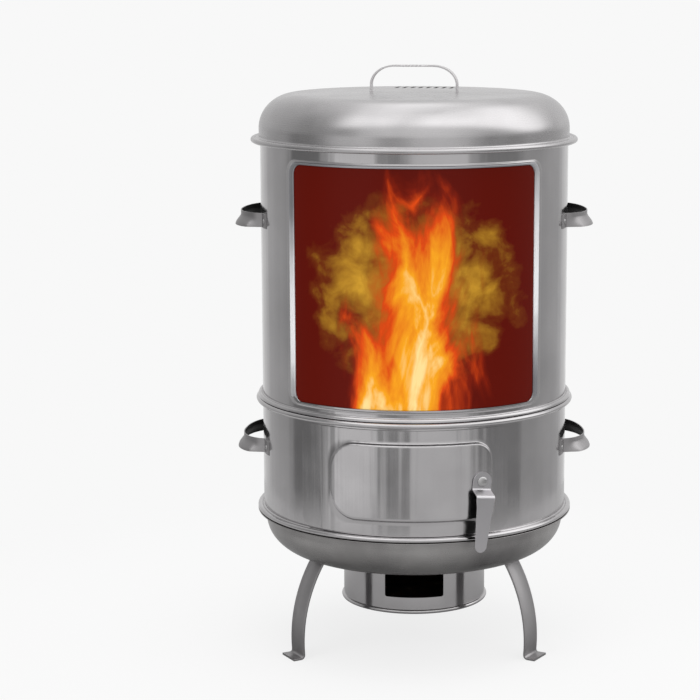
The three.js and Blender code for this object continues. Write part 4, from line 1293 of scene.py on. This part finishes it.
class OVEN_OT_lid_handle(bpy.types.Operator):
    """Make the lid's flat bail handle"""

    bl_idname = "oven.lid_handle"
    bl_label = "Lid handle"

    def execute(self, context):
        swing = math.degrees(context.scene.oven_sizes.lid_turn)
        half, thick = 63.0, 2.5
        low, high = heights("lid_handle")
        under, top = low + thick / 2, high - thick / 2
        across, up = 35, 27
        right = run(
            [half - 11, under],
            fillet((half, under), (half - 11, under), (half, under + 20), 3),
            [half, under + 8],
            arc((half - across, top - up), across, up, 0, 90, 20),
        )
        line = spread(run(right, (right * (-1, 1))[::-1]), 140)
        grid = turn(strip(line, 7.0, thick), swing)
        bail = solid("bail_bent", grid, "stainless_strip_blasted", 45)
        seat(bail, "lid", "brushed_stainless", "lid_handle")
        return {"FINISHED"}


# The CAD parts that stay in view, and what each is made of
PLAIN_PARTS = {
    "mild_steel_fired_and_painted_shade": ("fire_grate",),
    WIRE: ("latch_sleeve",),
    STRIP_STEEL: (
        "door_hanger_left",
        "door_hanger_right",
        "latch_tongue",
        "ring_bracket_front_left",
        "ring_bracket_front_right",
        "ring_bracket_rear_right",
        "ring_bracket_rear_left",
    ),
}


class OVEN_OT_plain_parts(bpy.types.Operator):
    """Give the CAD parts that stay in view their materials"""

    bl_idname = "oven.plain_parts"
    bl_label = "Grate, brackets and hangers"

    def execute(self, context):
        for finish, nodes in PLAIN_PARTS.items():
            for node in nodes:
                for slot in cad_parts[node].material_slots:
                    slot.material = bpy.data.materials[finish]
        return {"FINISHED"}


# The room, by azimuth in degrees from the front towards the right. Low down, white panels and
# black flags stand round the oven: (from, to, how bright), with ROOM_GREY in the gaps between
# them and REAR_LEFT and REAR_RIGHT, as (azimuth, how bright), behind them. Plain walls are
# above: UPPER_WALLS, as (azimuth, how bright).
ROOM_GREY = 0.42
CARD_EDGE = 5
REAR_LEFT = ((-180, 0.95), (-150, 0.66), (-136, 0.5), (-120, 0.46))
CARDS = (
    (-102, -76, 0.20),
    (-60, -30, 0.86),
    (-19, -11, 0.30),
    (-1, 38, 0.70),
    (54, 84, 0.26),
)
REAR_RIGHT = ((98, ROOM_GREY), (122, 0.48), (136, 0.5), (150, 0.7), (180, 0.95))
UPPER_WALLS = (
    *((-180, 0.78), (-130, 0.6), (-80, 0.34), (-56, 0.42), (-30, 0.95)),
    *((24, 0.95), (62, 0.58), (115, 0.5), (140, 0.78), (180, 0.78)),
)


def backdrop_material(colour):
    """Matt paper floor. The camera rays see its own pale colour, mixed near the oven with a matt
    white floor that keeps the object's shadow. Glossy rays see less of the pale colour, and to
    them the matt floor is painted dark grey, as painted shade in its reflections; all other rays
    see plain matt white."""
    tree, shader = new_material("paper_floor_matt")
    tree.nodes.remove(shader)
    times, plus, _ = arithmetic(tree)
    path = add(tree, "ShaderNodeLightPath").outputs
    away = length(tree, here(tree))

    def seen_by(ray, near, far, distance):
        """How much of the pale colour one kind of ray sees, from near the oven outwards."""
        return times(path[ray], span(tree, away, 0.22, distance, near, far))

    glossy = seen_by("Is Glossy Ray", 0.1, 0.5, 0.53)
    glossy = plus(glossy, seen_by("Is Transmission Ray", 0.1, 1.0, 0.9))
    share = plus(seen_by("Is Camera Ray", 0.84, 1.0, 0.9), glossy)
    # To glossy rays the matt floor is painted dark grey: painted shade in its reflections
    white, grey = (0.82, 0.82, 0.82, 1), (0.22, 0.22, 0.22, 1)
    tint = blend(tree, path["Is Glossy Ray"], white, grey)
    matt = add(tree, "ShaderNodeBsdfDiffuse", {"Color": tint}).outputs["BSDF"]
    flat = add(tree, "ShaderNodeEmission", {"Color": (*colour, 1), "Strength": 1.0})
    mix = {0: share, 1: matt, 2: flat.outputs["Emission"]}
    mix = add(tree, "ShaderNodeMixShader", mix).outputs["Shader"]
    plug(tree, tree.nodes["Material Output"], {"Surface": mix})
    return bpy.data.materials["paper_floor_matt"]


def studio_world(colour):
    """The room: pale to the camera, and for everything else soft white panels with grey gaps.

    Low down, a direction's azimuth from the front picks the panel, flag or gap. Higher, it
    picks the plain wall above them, and over that comes a white ceiling panel.
    """
    world = bpy.data.worlds.new("studio")
    bpy.context.scene.world = world
    world.use_nodes = True
    tree = world.node_tree
    tree.nodes.clear()
    times, plus, _ = arithmetic(tree)
    x, y, z = split(tree, add(tree, "ShaderNodeTexCoord").outputs["Generated"])
    azimuth = sums(tree, "ARCTAN2", x, times(y, -1.0))
    whole = span(tree, azimuth, -math.pi, math.pi)

    def walls(levels):
        return ramp(tree, whole, [((at + 180) / 360, level) for at, level in levels], "EASE")

    def ease(value, start, end, low=0.0, high=1.0):
        return span(tree, value, start, end, low, high, interpolation_type="SMOOTHSTEP")

    def leaning(height, way, lean):
        """The plane height + lean times way."""
        return plus(height, times(way, lean))

    cards = []
    for start, end, level in CARDS:
        cards += [(start - CARD_EDGE, ROOM_GREY), (start, level)]
        cards += [(end, level), (end + CARD_EDGE, ROOM_GREY)]
    lit = walls([*REAR_LEFT, *cards, *REAR_RIGHT])
    lit = blend(tree, ease(z, -0.07, 0.06), lit, walls(UPPER_WALLS))
    # The white ceiling panel starts high in front, runs overhead, where it is dimmed, and
    # comes down behind. It stops at the left, and a grey gap crosses it askew.
    reach = ease(leaning(z, y, 0.75), -0.15, 0.3)
    gap = sums(tree, "ABSOLUTE", leaning(leaning(y, x, -3.5), z, 0.35))
    for fade in (
        ease(leaning(y, x, 0.35), 0.55, 0.9, 1.0, 0.0),
        ease(z, 0.8, 0.95, 1.0, 0.78),
        ease(z, 0.0, 0.2),
        ease(leaning(x, y, -0.6), -0.7, -0.3),
        ease(gap, 0.02, 0.75, 0.4, 1.0),
    ):
        reach = times(reach, fade)
    lit = blend(tree, reach, lit, (1.7, 1.7, 1.7, 1))
    camera = add(tree, "ShaderNodeLightPath").outputs["Is Camera Ray"]
    room = add(tree, "ShaderNodeBackground", {"Color": lit, "Strength": 1.0})
    pale = add(tree, "ShaderNodeBackground", {"Color": (*colour, 1), "Strength": 1.0})
    mix = {0: camera, 1: room.outputs["Background"], 2: pale.outputs["Background"]}
    mix = add(tree, "ShaderNodeMixShader", mix).outputs["Shader"]
    add(tree, "ShaderNodeOutputWorld", {"Surface": mix})


# The photograph's camera, in millimetres and degrees: it looks down a little, and the shift
# puts the oven right of the middle.
LENS, SENSOR, SHIFT = 111.7, 36.0, -0.0917
CAMERA_BACK, CAMERA_UP, CAMERA_DOWN = 3181.4, 1007.1, 10.069
# The soft lamps: (name, where, aimed at, width in metres, watts)
LAMPS = (
    ("ceiling_panel", (0.0, -0.3, 2.6), (0.0, 0.0, 0.4), 1.8, 22.0),
    ("left_panel", (-2.2, -2.2, 1.6), (0.0, 0.0, 0.45), 1.2, 16.0),
)
FLOOR_RADIUS, FLOOR_TOP = 1100, -0.5


class OVEN_OT_stage(bpy.types.Operator):
    """Make the floor, the light and the camera"""

    bl_idname = "oven.stage"
    bl_label = "Stage"

    def execute(self, context):
        scene = context.scene
        colour = tuple(scene.oven_colours.backdrop)

        def show(name, data):
            made = bpy.data.objects.new(name, data)
            scene.collection.objects.link(made)
            return made

        rim = arc((0, 0), FLOOR_RADIUS, FLOOR_RADIUS, 0, 360, 96)[:-1]
        mesh = bpy.data.meshes.new("paper_floor")
        points = np.column_stack((rim, np.full(len(rim), FLOOR_TOP))) * MM
        mesh.from_pydata(points.tolist(), [], [list(range(len(rim)))])
        mesh.materials.append(backdrop_material(colour))
        floor = show("paper_floor", mesh)

        studio_world(colour)
        for name, spot, aim, width, power in LAMPS:
            light = bpy.data.lights.new(name, "AREA")
            light.size = width
            light.energy = power
            lamp = show(name, light)
            lamp.location = spot
            lamp.visible_glossy = False
            x, y, z = np.array(spot) - np.array(aim)
            lamp.rotation_euler = (math.atan2(math.hypot(x, y), z), 0.0, math.atan2(x, -y))

        lens = bpy.data.cameras.new("camera")
        lens.lens, lens.sensor_width, lens.shift_x = LENS, SENSOR, SHIFT
        camera = show("camera", lens)
        camera.location = (0.0, -CAMERA_BACK * MM, CAMERA_UP * MM)
        camera.rotation_euler = (math.radians(90 - CAMERA_DOWN), 0.0, 0.0)
        scene.camera = camera
        scene.view_settings.view_transform = "Standard"
        return {"FINISHED"}


class OVEN_PT_panel(bpy.types.Panel):
    """Lists the oven's sizes, colours and pieces"""

    bl_idname = "OVEN_PT_panel"
    bl_label = "Roasting oven"
    bl_space_type = "VIEW_3D"
    bl_region_type = "UI"
    bl_category = "Oven"

    def draw(self, context):
        for group in (context.scene.oven_sizes, context.scene.oven_colours):
            for name in group.__annotations__:
                self.layout.prop(group, name)
        for operator in OPERATORS:
            self.layout.operator(operator.bl_idname)


OPERATORS = (
    OVEN_OT_finishes,
    OVEN_OT_stand,
    OVEN_OT_legs,
    OVEN_OT_side_handles,
    OVEN_OT_fire_door,
    OVEN_OT_latch,
    OVEN_OT_barrel,
    OVEN_OT_picture,
    OVEN_OT_rack,
    OVEN_OT_inside,
    OVEN_OT_lid,
    OVEN_OT_lid_handle,
    OVEN_OT_plain_parts,
    OVEN_OT_stage,
)
CLASSES = (OvenSizes, OvenColours, *OPERATORS, OVEN_PT_panel)


def register():
    for cls in CLASSES:
        bpy.utils.register_class(cls)
    bpy.types.Scene.oven_sizes = bpy.props.PointerProperty(type=OvenSizes)
    bpy.types.Scene.oven_colours = bpy.props.PointerProperty(type=OvenColours)


def unregister():
    del bpy.types.Scene.oven_colours
    del bpy.types.Scene.oven_sizes
    for cls in reversed(CLASSES):
        bpy.utils.unregister_class(cls)


def main():
    register()
    for operator in OPERATORS:
        group, name = operator.bl_idname.split(".")
        getattr(getattr(bpy.ops, group), name)()


if __name__ == "__main__":
    main()
